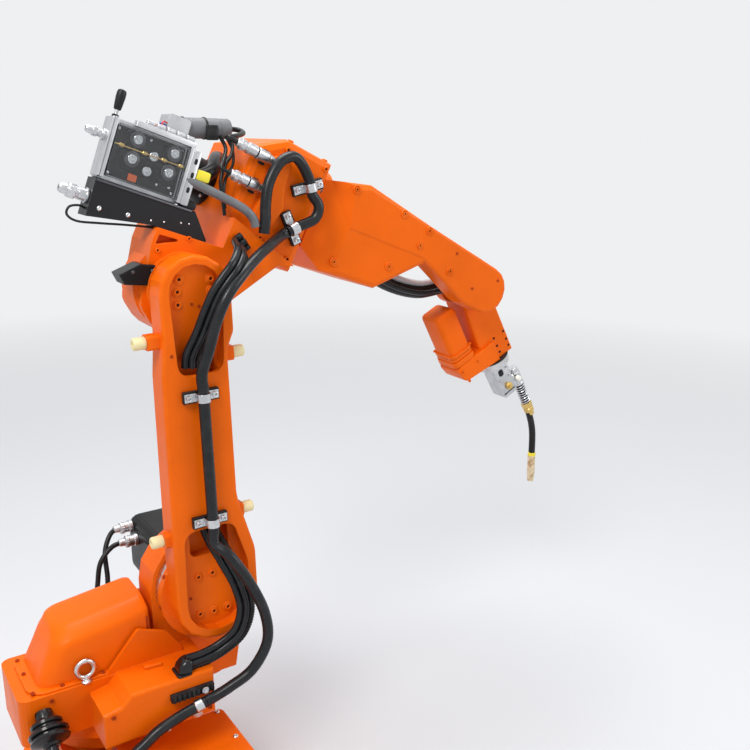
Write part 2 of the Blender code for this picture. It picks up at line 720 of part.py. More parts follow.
def clamp(name, middle, along, outward, parent):
    """A hose clamp: a flat base on the casting with a strap that holds the hose from outside.

    along is the hose's direction at the clamp and outward the casting's face normal.
    """
    along = Vector(along).normalized()
    outward = Vector(outward).normalized()
    across = along.cross(outward).normalized()
    inner = HOSE_RADIUS + SEAT
    outer = inner + CLAMP_STRAP
    half = CLAMP_LENGTH / 2
    foot = -inner - CLAMP_BASE
    profile = [(-half, foot), (half, foot), (half, -inner)]
    steps = SMALL_SIDES // 2
    profile += [(outer, -inner)]
    profile += [(outer * cos(pi * step / steps), outer * sin(pi * step / steps)) for step in range(steps + 1)]
    profile += [(-outer, -inner), (-half, -inner)]
    rings = []
    for end in (-CLAMP_WIDTH / 2, CLAMP_WIDTH / 2):
        rings.append([Vector(middle) + across * a + outward * b + along * end for a, b in profile])
    body = loft(rings)
    hole = []
    for end in (-CLAMP_WIDTH, CLAMP_WIDTH):
        hole.append([
            Vector(middle) + along * end
            + (across * cos(2 * pi * side / SMALL_SIDES) + outward * sin(2 * pi * side / SMALL_SIDES)) * inner
            for side in range(SMALL_SIDES)
        ])
    return place(name, cut(body, loft(hole)), parent, "black plastic")


def build_swivel(frame):
    """Turning column with the tub of the first motor, its hood and the shoulder drive."""
    rim = BASE_HEIGHT + RUNNING_GAP
    flange_top = rim + SWIVEL_FLANGE_THICKNESS
    bearing = drum(BEARING_RADIUS, BASE_HEIGHT + SEAT, rim + SWIVEL_FLANGE_THICKNESS / 2, "Z")
    flange = turned(
        [
            (SWIVEL_FLANGE_RADIUS, rim),
            (SWIVEL_FLANGE_RADIUS, flange_top),
            (SWIVEL_CONE_RADIUS, flange_top + SWIVEL_CONE_HEIGHT),
        ],
        "Z",
    )
    column = prism(
        box_corners(-COLUMN_REAR, COLUMN_FRONT, -COLUMN_NEAR, COLUMN_FAR, COLUMN_CORNER),
        flange_top - COLUMN_EDGE, COLUMN_TOP, "Z", COLUMN_EDGE,
    )
    shoulder = (SHOULDER_OFFSET, SHOULDER_HEIGHT)
    rear = SHOULDER_OFFSET - SHOULDER_RADIUS
    front = SHOULDER_OFFSET + SHOULDER_RADIUS
    crown = SHOULDER_HEIGHT + SHOULDER_RADIUS
    stand = prism(
        [
            (rear, SHELF_BOTTOM, 0.0),
            (COLUMN_FRONT + COLUMN_EDGE, SHELF_BOTTOM, 0.0),
            (front, SHOULDER_HEIGHT, SHOULDER_RADIUS / 2),
            (front, crown, SHOULDER_RADIUS),
            (rear, crown, SHOULDER_RADIUS),
        ],
        -SHOULDER_NEAR, -SHOULDER_FAR, "Y",
    )
    tub = prism(box_corners(-TUB_REAR, TUB_FRONT, -TUB_NEAR, TUB_FAR, TUB_CORNER), TUB_BOTTOM, TUB_TOP, "Z")
    shelf = prism(
        [
            (-SHELF_REAR, SHELF_BOTTOM, 0.0),
            (SHELF_FRONT, SHELF_BOTTOM, 0.0),
            (SHELF_FRONT, SHELF_TOP, 0.0),
            (-SHELF_CREASE, SHELF_TOP, 0.0),
            (-SHELF_STEP, SHELF_TOP - SHELF_STEP_DROP, 0.0),
            (-SHELF_REAR, SHELF_TOP - SHELF_REAR_DROP, 0.0),
        ],
        -SHELF_NEAR, -SHELF_FAR, "Y", SHELF_EDGE,
    )
    x, z = shoulder
    gusset = prism(
        [(x + a, z + b, radius) for a, b, radius in GUSSET_OUTLINE],
        -GUSSET_NEAR, -GUSSET_NEAR + GUSSET_THICKNESS, "Y",
    )
    place("swivel_casting", joined(bearing, flange, column, stand, tub, shelf, gusset), frame, "orange paint")

    rear = -TUB_REAR + HOOD_REAR_INSET
    near = -TUB_NEAR + HOOD_NEAR_INSET
    far = TUB_FAR - HOOD_FAR_INSET
    front = SHOULDER_OFFSET - SHOULDER_RADIUS - RUNNING_GAP
    bottom = TUB_TOP + SEAT
    levels = (
        (0.0, 0.0, 0.0, 0.0, 0.0),
        (HOOD_CREASE_HEIGHT, HOOD_RISE, HOOD_REAR_CREASE, HOOD_FRONT_SLOPE / 2, 0.0),
        (HOOD_HEIGHT, HOOD_RISE, HOOD_REAR_SLOPE, HOOD_FRONT_SLOPE, HOOD_BEVEL),
    )
    rings = []
    for height, rise, from_rear, from_front, from_near in levels:
        corners = box_corners(rear + from_rear, front - from_front, near + from_near, far, HOOD_CORNER)
        rings.append([
            spread(point, bottom + height + rise * (point.x - rear) / (front - rear), "Z")
            for point in rounded(corners)
        ])
    hood = loft(rings)
    clear = RUNNING_GAP / 2
    notch = prism(
        box_corners(-COLUMN_REAR - clear, COLUMN_FRONT, -COLUMN_NEAR - clear, COLUMN_FAR, COLUMN_CORNER),
        TUB_TOP - OVERRUN, COLUMN_TOP + clear, "Z",
    )
    beside = prism(
        box_corners(-SHELF_REAR - clear, SHELF_FRONT, -SHELF_NEAR, -SHELF_FAR + clear), TUB_TOP - OVERRUN,
        SHELF_TOP + clear, "Z",
    )
    place("motor_hood", cut(hood, notch, beside), frame, "orange paint")

    reducer = drum(REDUCER_RADIUS, -JOINT_PLANE + SEAT, -SHOULDER_NEAR - SEAT, "Y", shoulder)
    place("shoulder_reducer", reducer, frame, "bright steel")
    build_shoulder_motor(frame)

    x, y = EYE_PLACE
    stem = drum(EYE_STEM_RADIUS, TUB_TOP + SEAT, TUB_TOP + EYE_STEM, "Z", EYE_PLACE, SMALL_SIDES)
    middle = Vector((x, y, TUB_TOP + EYE_STEM + EYE_RADIUS))
    loops = []
    for step in range(SMALL_SIDES):
        angle = 2 * pi * step / SMALL_SIDES
        out = Vector((cos(angle), 0.0, sin(angle)))
        section = []
        for side in range(EYE_WIRE_SIDES):
            turn = 2 * pi * side / EYE_WIRE_SIDES
            section.append(middle + out * (EYE_RADIUS + EYE_WIRE * cos(turn)) + Vector((0, EYE_WIRE * sin(turn), 0)))
        loops.append(section)
    place("lifting_eye", joined(closed_loop(loops), stem), frame, "bright steel")

    aim = Vector(BOOT_AIM).normalized()
    widest = max(radius for radius, reach in BOOT_PROFILE[:2])
    wall = Vector((BOOT_X, -TUB_NEAR - SEAT, TUB_BOTTOM + (TUB_TOP - TUB_BOTTOM) * BOOT_HEIGHT_SHARE))
    boot = turned_along(wall - aim * widest, aim, [(BOOT_PROFILE[0][0], -widest), *(
        (radius, reach + widest) for radius, reach in BOOT_PROFILE
    )])
    behind = prism(
        box_corners(BOOT_X - TUB_REAR, BOOT_X + TUB_REAR, -TUB_NEAR - SEAT, 0.0), TUB_BOTTOM - TUB_REAR,
        TUB_TOP + TUB_REAR, "Z",
    )
    place("hose_boot", cut(boot, behind), frame, "black rubber")
    origin = Vector((SHOULDER_OFFSET, 0.0, SHOULDER_HEIGHT))
    middle = origin + Vector(SWIVEL_CLAMP)
    along = Vector(SWIVEL_CLAMP_ALONG).normalized()
    clamp("swivel_hose_clamp", middle, along, (0.0, -1.0, 0.0), frame)
    mouth = wall + aim * BOOT_PROFILE[-1][1]
    route = [mouth + aim * SEAT, mouth + aim * HOSE_JOIN, *(origin + Vector(point) for point in SWIVEL_HOSE_ROUTE)]
    ends = [middle + along * reach for reach in (-HOSE_JOIN * 2, -HOSE_JOIN, HOSE_JOIN)]
    hose("swivel_hose", [*route, *ends], HOSE_RADIUS, frame)
    harness("shoulder_harness", [origin + Vector(point) for point in SHOULDER_HARNESS_ROUTE], frame)
    for name, route in (("motor_power_cable", POWER_CABLE_ROUTE), ("motor_signal_cable", SIGNAL_CABLE_ROUTE)):
        hose(name, [origin + Vector(point) for point in route], CABLE_RADIUS, frame)


def closed_loop(rings):
    """A solid ring, from sections that close on themselves."""
    mesh_data = bmesh.new()
    rows = [[mesh_data.verts.new(point) for point in section] for section in rings]
    for index, high in enumerate(rows):
        low = rows[index - 1]
        for side in range(len(low)):
            mesh_data.faces.new((low[side - 1], low[side], high[side], high[side - 1]))
    return object_from(mesh_data)


def build_shoulder_motor(frame):
    """Square servo motor of the shoulder, with its mounting plate and rear cap."""
    middle_x, middle_z = SHOULDER_OFFSET, SHOULDER_HEIGHT
    plate_start = -SHOULDER_FAR + SEAT
    body_start = plate_start + MOTOR_PLATE_THICKNESS
    body_end = body_start + MOTOR_LENGTH
    half = MOTOR_PLATE_SIZE / 2
    plate = prism(
        box_corners(middle_x - half, middle_x + half, middle_z - half, middle_z + half, MOTOR_CORNER),
        plate_start, body_start, "Y",
    )
    half = MOTOR_SIZE / 2
    body = prism(
        box_corners(middle_x - half, middle_x + half, middle_z - half, middle_z + half, MOTOR_CORNER),
        body_start - MOTOR_PLATE_THICKNESS / 2, body_end, "Y", MOTOR_CORNER / 4,
    )
    cap = drum(
        MOTOR_CAP_RADIUS, body_end - MOTOR_CAP_LENGTH, body_end + MOTOR_CAP_LENGTH, "Y", (middle_x, middle_z),
        SMALL_SIDES,
    )
    place("shoulder_motor", joined(plate, body, cap), frame, "black motor")


def build_lower_arm(frame):
    """Lower arm casting with its recesses, window, pocket and hollow, and its bumpers."""
    foot = ARM_FOOT_RADIUS
    head = ARM_HEAD_RADIUS
    neck = LOWER_ARM_LENGTH - head * 9 / 8
    body = prism(
        [
            (-foot, -foot, foot),
            (foot, -foot, foot),
            (foot, foot, foot / 2),
            (ARM_FRONT, ARM_FLARE_HEIGHT, foot),
            (ARM_FRONT, neck - head / 2, head / 2),
            (head, neck, head / 4),
            (head, LOWER_ARM_LENGTH + head, head),
            (-head, LOWER_ARM_LENGTH + head, head),
            (-head, neck, head / 4),
            (-ARM_REAR, POCKET_BOTTOM, head / 4),
        ],
        -ARM_OUTER, -ARM_INNER, "Y", ARM_EDGE,
    )
    pads = [
        drum(ARM_FOOT_FLANGE_RADIUS, -JOINT_PLANE - ARM_FOOT_FLANGE_THICKNESS, -JOINT_PLANE, "Y"),
        drum(head - ARM_EDGE * 2, -ARM_INNER - ARM_EDGE, -JOINT_PLANE, "Y", (0.0, LOWER_ARM_LENGTH)),
    ]
    lugs = []
    for side, heights, wall in ((-1, REAR_BUMPER_HEIGHTS, ARM_REAR), (1, FRONT_BUMPER_HEIGHTS, ARM_FRONT)):
        for height in heights:
            ends = sorted((side * (wall - ARM_WALL), side * (wall + LUG_REACH)))
            lugs.append(prism(
                box_corners(
                    -BUMPER_Y - LUG_SIZE / 2, -BUMPER_Y + LUG_SIZE / 2,
                    height - LUG_SIZE / 2, height + LUG_SIZE / 2, LUG_SIZE / 5,
                ),
                *ends, "X",
            ))
    casting = joined(body, *pads, *lugs)
    outside = -ARM_OUTER - OVERRUN
    foot_floor = -ARM_OUTER + FOOT_RECESS_DEPTH
    hollow_floor = -ARM_INNER - ARM_WALL
    recess = FOOT_RECESS_RADIUS
    window = prism(
        [
            (-recess, -recess, recess),
            (recess, -recess, recess),
            (recess, recess, recess / 2),
            (WINDOW_FRONT, WINDOW_TOP, POCKET_CORNER),
            (-WINDOW_REAR, WINDOW_TOP, POCKET_CORNER),
        ],
        outside, foot_floor, "Y",
    )
    recess = HEAD_RECESS_RADIUS
    outline = rounded([
        (-recess, LOWER_ARM_LENGTH + recess, recess),
        (-POCKET_REAR, POCKET_BOTTOM, POCKET_CORNER),
        (POCKET_FRONT, POCKET_BOTTOM, POCKET_CORNER),
        (recess, LOWER_ARM_LENGTH + recess, recess),
    ])
    crown = LOWER_ARM_LENGTH + recess
    fall = (POCKET_DEPTH - HEAD_RECESS_DEPTH) / (crown - POCKET_BOTTOM)
    pocket = loft([
        [spread(point, outside, "Y") for point in outline],
        [spread(point, -ARM_OUTER + HEAD_RECESS_DEPTH + (crown - point.y) * fall, "Y") for point in outline],
    ])
    hollow = prism(
        box_corners(
            -HOLLOW_HALF_WIDTH, HOLLOW_HALF_WIDTH - POCKET_CORNER / 4,
            FOOT_RECESS_RADIUS + POCKET_CORNER, POCKET_BOTTOM + MOUTH_HEIGHT, POCKET_CORNER / 2,
        ),
        -ARM_OUTER + ARM_WALL, hollow_floor, "Y",
    )
    place("lower_arm", cut(casting, window, pocket, hollow), frame, "orange paint")

    sides = ((-1, "rear", REAR_BUMPER_HEIGHTS, ARM_REAR), (1, "front", FRONT_BUMPER_HEIGHTS, ARM_FRONT))
    for side, label, heights, wall in sides:
        for level, height in zip(("lower", "upper"), heights):
            start = side * (wall + LUG_REACH + SEAT)
            end = side * (wall + LUG_REACH + BUMPER_LENGTH)
            bumper = drum(BUMPER_RADIUS, min(start, end), max(start, end), "X", (-BUMPER_Y, height), SMALL_SIDES)
            place(f"{label}_{level}_bumper", bumper, frame, "cream rubber")

    for level, height in zip(("lower", "upper"), ARM_CLAMP_HEIGHTS):
        middle, = arm_line(height)
        clamp(f"arm_hose_clamp_{level}", middle, (0.0, 0.0, 1.0), (0.0, -1.0, 0.0), frame)
    low, high = ARM_CLAMP_HEIGHTS
    hose("arm_hose", arm_line(low - HOSE_JOIN, low, high, high + HOSE_JOIN), HOSE_RADIUS, frame)
    swivel = frame.parent
    origin = Vector((SHOULDER_OFFSET, 0.0, SHOULDER_HEIGHT))
    along = Vector(SWIVEL_CLAMP_ALONG).normalized()
    start = [origin + Vector(SWIVEL_CLAMP) + along * reach for reach in (HOSE_JOIN + SEAT, HOSE_JOIN * 2)]
    route = [origin + Vector(point) for point in SHOULDER_HOSE_ROUTE]
    end = [carried(point, frame, swivel) for point in arm_line(low - HOSE_JOIN * 3, low - HOSE_JOIN - SEAT)]
    hose("shoulder_hose", [*start, *route, *end], HOSE_RADIUS, swivel)


def arm_line(*heights):
    """Points of the straight hose on the face of the lower arm, at the given heights."""
    depth = -ARM_OUTER - SEAT - CLAMP_BASE - HOSE_RADIUS - SEAT
    return [Vector((ARM_CLAMP_X, depth, height)) for height in heights]


def build_elbow(frame):
    """Elbow casting with the hub on the arm and the block that turns the forearm."""
    ring_far, ring_near = HUB_RING_STEPS
    hub = turned(
        [
            (HUB_NEAR_RADIUS, -JOINT_PLANE + SEAT),
            (HUB_NEAR_RADIUS, -ring_near),
            (HUB_RING_RADIUS, -ring_near + CLAMP_EDGE),
            (HUB_RING_RADIUS, -ring_far),
            (HUB_RADIUS, -ring_far + CLAMP_EDGE),
            (HUB_RADIUS, -HUB_FAR),
        ],
        "Y",
    )
    low, lowest, across, front = (HUB_RADIUS * share for share in WEB_NEAR_SHARES)
    web = prism(
        [
            (-low, -low, HUB_RADIUS / 3),
            (0.0, -lowest, HUB_RADIUS / 2),
            (across, -front, HUB_RADIUS / 3),
            (BLOCK_FRONT - BLOCK_REAR, BLOCK_BOTTOM, 0.0),
            (BLOCK_FRONT - BLOCK_EDGE, BLOCK_BOTTOM + BLOCK_REAR / 4, 0.0),
            (BLOCK_REAR, BLOCK_BOTTOM + BLOCK_REAR, 0.0),
            (BLOCK_REAR, LEDGE_TOP + (LEDGE_REAR + BLOCK_REAR) * tan(-FEEDER_TURN), 0.0),
            (-LEDGE_REAR, LEDGE_TOP, LEDGE_THICKNESS / 3),
            (-LEDGE_REAR, LEDGE_TOP - LEDGE_THICKNESS * 2, LEDGE_THICKNESS / 3),
        ],
        -ELBOW_NEAR, -ELBOW_FAR, "Y",
    )
    foot, top, rear = (BLOCK_REAR * share for share in BLOCK_CORNER_SHARES)
    block = prism(
        [
            (foot, BLOCK_BOTTOM, 0.0),
            (BLOCK_FRONT, BLOCK_BOTTOM, 0.0),
            (BLOCK_FRONT, BLOCK_TOP, 0.0),
            (top, BLOCK_TOP, 0.0),
            (BLOCK_REAR, BLOCK_TOP - rear, 0.0),
            (BLOCK_REAR, BLOCK_BOTTOM + BLOCK_REAR, 0.0),
        ],
        -BLOCK_NEAR, BLOCK_FAR, "Y", BLOCK_EDGE,
    )
    low = -BLOCK_NEAR - PAD_HEIGHT
    pad = prism(PAD_OUTLINE, low, -BLOCK_NEAR + PAD_HEIGHT, "Y", PAD_EDGE)
    axis = (0.0, ELBOW_OFFSET)
    collar = drum(ROLL_RING_RADIUS, BLOCK_FRONT - ROLL_RING_THICKNESS, BLOCK_FRONT + ROLL_RING_THICKNESS, "X", axis)
    hollow = TORCH_CABLE_UPPER_RADIUS + SEAT
    bore = drum(hollow, -OVERRUN, BLOCK_FRONT + OVERRUN * 2, "X", axis, SMALL_SIDES)
    pocket = prism(
        [(u, w, CLAMP_EDGE) for u, w in LEDGE_POCKET], -ELBOW_NEAR - OVERRUN, -ELBOW_NEAR + LEDGE_POCKET_DEPTH, "Y",
    )
    casting = cut(joined(hub, web, block, pad, collar), bore, pocket)
    place("elbow_casting", casting, frame, "orange paint")

    cover = prism(
        STOP_COVER_OUTLINE, -ARM_INNER + RUNNING_GAP, -ARM_INNER + RUNNING_GAP + STOP_COVER_DEPTH, "Y", CLAMP_EDGE,
    )
    round_hub = drum(HUB_RADIUS + SEAT, -ELBOW_NEAR - SEAT, OVERRUN, "Y")
    near_ring = drum(HUB_NEAR_RADIUS + SEAT, -ARM_OUTER, OVERRUN, "Y")
    place("elbow_stop_cover", cut(cover, round_hub, near_ring), frame, "black motor")

    motor = turned(
        [
            (ROLL_MOTOR_SIZE / 2, BLOCK_REAR - ROLL_MOTOR_LENGTH),
            (ROLL_MOTOR_SIZE / 2, BLOCK_REAR - SEAT),
        ],
        "X", (ROLL_MOTOR_Y, ELBOW_OFFSET - ROLL_MOTOR_DROP), SMALL_SIDES,
    )
    place("roll_motor", motor, frame, "black motor")

    near = -BLOCK_NEAR - SEAT * 2 - CLAMP_BASE - HOSE_RADIUS
    ends = []
    for name, (u, w), (along_u, along_w) in (
        ("elbow_hose_clamp_lower", ELBOW_CLAMP_LOWER, ELBOW_CLAMP_LOWER_ALONG),
        ("elbow_hose_clamp_upper", ELBOW_CLAMP_UPPER, ELBOW_CLAMP_UPPER_ALONG),
    ):
        middle = Vector((u, near, w))
        along = Vector((along_u, 0.0, along_w)).normalized()
        clamp(name, middle, along, (0.0, -1.0, 0.0), frame)
        ends.append((middle, along))
    (low, low_along), (high, high_along) = ends
    reach = HOSE_JOIN + SEAT
    hose(
        "loop_hose",
        [
            low - low_along * HOSE_JOIN, low, low + low_along * HOSE_JOIN, *LOOP_HOSE_ROUTE,
            high - high_along * HOSE_JOIN, high, high + high_along * HOSE_JOIN, *RETURN_HOSE_ROUTE,
        ],
        HOSE_RADIUS, frame,
    )
    top = ARM_CLAMP_HEIGHTS[-1]
    start = [carried(point, frame.parent, frame) for point in arm_line(top + reach, top + HOSE_JOIN * 3)]
    end = [low - low_along * HOSE_JOIN * 2, low - low_along * reach]
    hose("elbow_hose", [*start, *ELBOW_HOSE_ROUTE, *end], HOSE_RADIUS, frame)
    harness("elbow_harness", ELBOW_HARNESS_ROUTE, frame)
    build_feeder(frame)


def build_feeder(elbow):
    """Wire feeder on its bracket behind the elbow block."""
    line = LEDGE_TOP - (FEEDER_REAR - LEDGE_REAR) * tan(-FEEDER_TURN)
    ledge = frame_at("feeder_bracket_frame", (-FEEDER_REAR, 0.0, line), FEEDER_TURN, elbow)
    frame = frame_at("feeder_frame", (0.0, 0.0, BRACKET_HEIGHT), 0.0, ledge)
    near = -FEEDER_NEAR
    far = near + FEEDER_DEPTH
    plate = prism(
        box_corners(0.0, FEEDER_LENGTH, SEAT, FEEDER_HEIGHT, BRACKET_THICKNESS), near + COVER_THICKNESS, far, "Y",
        CLAMP_EDGE,
    )
    housing = prism(
        box_corners(
            FEEDER_LENGTH - HOUSING_LENGTH, FEEDER_LENGTH - BRACKET_THICKNESS, FEEDER_HEIGHT - HOUSING_DROP,
            FEEDER_HEIGHT + HOUSING_RISE, BRACKET_THICKNESS,
        ),
        far - BRACKET_THICKNESS, far + FEEDER_MOTOR_RADIUS * 2 + BRACKET_THICKNESS, "Y",
    )
    u, w = FEEDER_MOTOR_PLACE
    axis_y = far + FEEDER_MOTOR_RADIUS + SEAT
    motor_frame = frame_at("feeder_motor_frame", (u, axis_y, w), FEEDER_MOTOR_TURN, elbow)
    half = FEEDER_MOTOR_LENGTH / 2
    socket = []
    for index in range(SMALL_SIDES):
        angle = 2 * pi * index / SMALL_SIDES
        ring_y, ring_z = (FEEDER_MOTOR_RADIUS + SEAT) * cos(angle), (FEEDER_MOTOR_RADIUS + SEAT) * sin(angle)
        socket.append([carried((reach, ring_y, ring_z), motor_frame, frame) for reach in (-half - SEAT, half)])
    hole = loft([[pair[0] for pair in socket], [pair[1] for pair in socket]])
    place("feeder_body", cut(joined(plate, housing), hole), frame, "aluminium")
    inset = BRACKET_THICKNESS * 2
    cover = prism(
        box_corners(inset, FEEDER_LENGTH - inset, inset, FEEDER_HEIGHT - inset, BRACKET_THICKNESS),
        near, near + COVER_THICKNESS - SEAT, "Y", CLAMP_EDGE,
    )
    place("feeder_cover", cover, frame, "clear cover")
    bracket = prism(
        [
            (-BRACKET_THICKNESS, -BRACKET_DROP, 0.0),
            (FEEDER_REAR - LEDGE_REAR - RUNNING_GAP, SEAT, 0.0),
            (FEEDER_LENGTH + BRACKET_REACH, SEAT, 0.0),
            (FEEDER_LENGTH + BRACKET_REACH, BRACKET_THICKNESS, 0.0),
            (FEEDER_LENGTH + BRACKET_LIP, BRACKET_HEIGHT, 0.0),
            (-BRACKET_THICKNESS, BRACKET_HEIGHT, 0.0),
        ],
        near, far, "Y",
    )
    hollow = prism(
        box_corners(
            BRACKET_THICKNESS, FEEDER_LENGTH - BRACKET_THICKNESS * 2, BRACKET_THICKNESS * 2,
            BRACKET_HEIGHT - BRACKET_THICKNESS,
        ),
        near + BRACKET_THICKNESS, far + OVERRUN, "Y",
    )
    place("feeder_bracket", cut(bracket, hollow), ledge, "dark frame")

    middle_y = (near + COVER_THICKNESS + far) / 2
    lever = turned(
        [
            (LEVER_RADIUS / 2, FEEDER_HEIGHT + SEAT),
            (LEVER_RADIUS / 2, FEEDER_HEIGHT + LEVER_LENGTH / 3),
            (LEVER_RADIUS, FEEDER_HEIGHT + LEVER_LENGTH / 3 + SEAT),
            (LEVER_RADIUS, FEEDER_HEIGHT + LEVER_LENGTH),
        ],
        "Z", (LEVER_RADIUS, middle_y), SMALL_SIDES,
    )
    place("feeder_lever", lever, frame, "black plastic")
    length_share, neck_share = INLET_NECK_SHARES
    wall = -BRACKET_THICKNESS
    neck = wall - INLET_LENGTH * length_share
    inlet = turned(
        [
            (INLET_RADIUS, wall - INLET_LENGTH), (INLET_RADIUS, neck),
            (INLET_RADIUS * neck_share, neck + SEAT), (INLET_RADIUS * neck_share, wall - SEAT),
        ],
        "X", (near + INLET_INSET, (BRACKET_HEIGHT - BRACKET_DROP) / 2), SMALL_SIDES,
    )
    place("wire_inlet", inlet, ledge, "bright steel")

    motor = drum(FEEDER_MOTOR_RADIUS, -half, half, "X", (0.0, 0.0), SMALL_SIDES)
    place("feeder_motor", motor, motor_frame, "grey plate")
    beside = -BLOCK_NEAR - FITTING_RADIUS - SEAT
    for name, (start, end, height) in (("torch_fitting", TORCH_FITTING), ("gas_fitting", GAS_FITTING)):
        fitting = turned(
            [
                (FITTING_RADIUS * FITTING_END_SHARE, start), (FITTING_RADIUS, start + FITTING_RADIUS),
                (FITTING_RADIUS, end - FITTING_RADIUS), (FITTING_RADIUS * FITTING_END_SHARE, end),
            ],
            "X", (beside, height), SMALL_SIDES,
        )
        place(name, fitting, elbow, "bright steel")
    radius = TORCH_CABLE_UPPER_RADIUS
    front = [
        carried((FEEDER_LENGTH + reach, middle_y, FEEDER_HEIGHT * CABLE_HEIGHT_SHARE), frame, elbow)
        for reach in (SEAT, radius * 2)
    ]
    hose("torch_cable_upper", [*front, *TORCH_CABLE_UPPER_ROUTE], radius, elbow)
    middle = near + COVER_THICKNESS / 2
    start = carried((FEEDER_LENGTH + SEAT, middle, FEEDER_HEIGHT * FEEDER_HOSE_SHARE), frame, elbow)
    hose("feeder_hose", [*FEEDER_HOSE_ROUTE, start], FEEDER_HOSE_RADIUS, elbow)


def build_forearm(frame):
    """Hollow forearm root round the roll axis, and the beam out to the wrist."""
    start = BLOCK_FRONT + ROLL_RING_THICKNESS + SEAT
    back = start + RUNNING_GAP
    end = start + ROOT_LENGTH
    root = prism(
        [
            (back, -ROOT_BOTTOM + ROOT_RISE, 0.0),
            (start + ROOT_LENGTH * ROOT_LOW_SHARE, -ROOT_BOTTOM, 0.0),
            (end, -ROOT_BOTTOM + ROOT_RISE / 2, 0.0),
            (end + ROOT_LENGTH * ROOT_HIGH_SHARE, -ROOT_RISE / 3, 0.0),
            (end + ROOT_LENGTH * ROOT_HIGH_SHARE, ROOT_TOP - ROOT_RISE / 2, 0.0),
            (start + ROOT_LENGTH * ROOT_HIGH_SHARE, ROOT_TOP, 0.0),
            (back, ROOT_TOP - ROOT_RISE, 0.0),
        ],
        -ROOT_HALF_WIDTH, ROOT_HALF_WIDTH, "Y", ROOT_EDGE,
    )
    collar = drum(ROLL_RING_RADIUS, start, start + ROOT_RISE, "X")
    beam = prism(
        [
            (start + ROOT_RISE, -BEAM_END_RADIUS / 2, 0.0),
            (end + ROOT_LENGTH * BEAM_START_SHARE, -BEAM_END_RADIUS / 10, BEAM_END_RADIUS / 2),
            (FOREARM_LENGTH - BEAM_END_RADIUS, -BEAM_END_RADIUS, BEAM_END_RADIUS / 2),
            (FOREARM_LENGTH + BEAM_END_RADIUS, -BEAM_END_RADIUS, BEAM_END_RADIUS),
            (FOREARM_LENGTH + BEAM_END_RADIUS, BEAM_END_RADIUS, BEAM_END_RADIUS),
            (start + ROOT_LENGTH * ROOT_HIGH_SHARE, ROOT_TOP - ROOT_EDGE / 2, 0.0),
            (start + ROOT_RISE, ROOT_TOP - ROOT_RISE, 0.0),
        ],
        -BEAM_NEAR - ROOT_EDGE / 5, -BEAM_NEAR + BEAM_THICKNESS, "Y", BEAM_EDGE,
    )
    cavity = prism(
        box_corners(
            -BEAM_NEAR + BEAM_THICKNESS + ROOT_EDGE, ROOT_HALF_WIDTH - ROOT_WALL,
            -ROOT_BOTTOM + ROOT_WALL * 3 / 2, ROOT_TOP - ROOT_WALL * 2, ROOT_WALL,
        ),
        start + ROOT_RISE * CAVITY_START_SHARE, FOREARM_LENGTH, "X",
    )
    hollow = TORCH_CABLE_RADIUS + SEAT
    bore = drum(hollow, start - OVERRUN, start + ROOT_RISE * 2, "X", (0.0, 0.0), SMALL_SIDES)
    triangles = []
    for height, length in ((-ROOT_BOTTOM - OVERRUN, ROOT_CHAMFER_BOTTOM), (ROOT_TOP + OVERRUN, ROOT_CHAMFER_TOP)):
        slope = ROOT_CHAMFER_DEPTH / length
        triangles.append([
            Vector((back - OVERRUN, -ROOT_HALF_WIDTH + ROOT_CHAMFER_DEPTH + OVERRUN * slope, height)),
            Vector((back - OVERRUN, -ROOT_HALF_WIDTH - OVERRUN, height)),
            Vector((back + length + OVERRUN / slope, -ROOT_HALF_WIDTH - OVERRUN, height)),
        ])
    chamfer = loft(triangles)
    casting = cut(joined(root, collar, beam), cavity, bore, chamfer)
    place("forearm_casting", casting, frame, "orange paint")


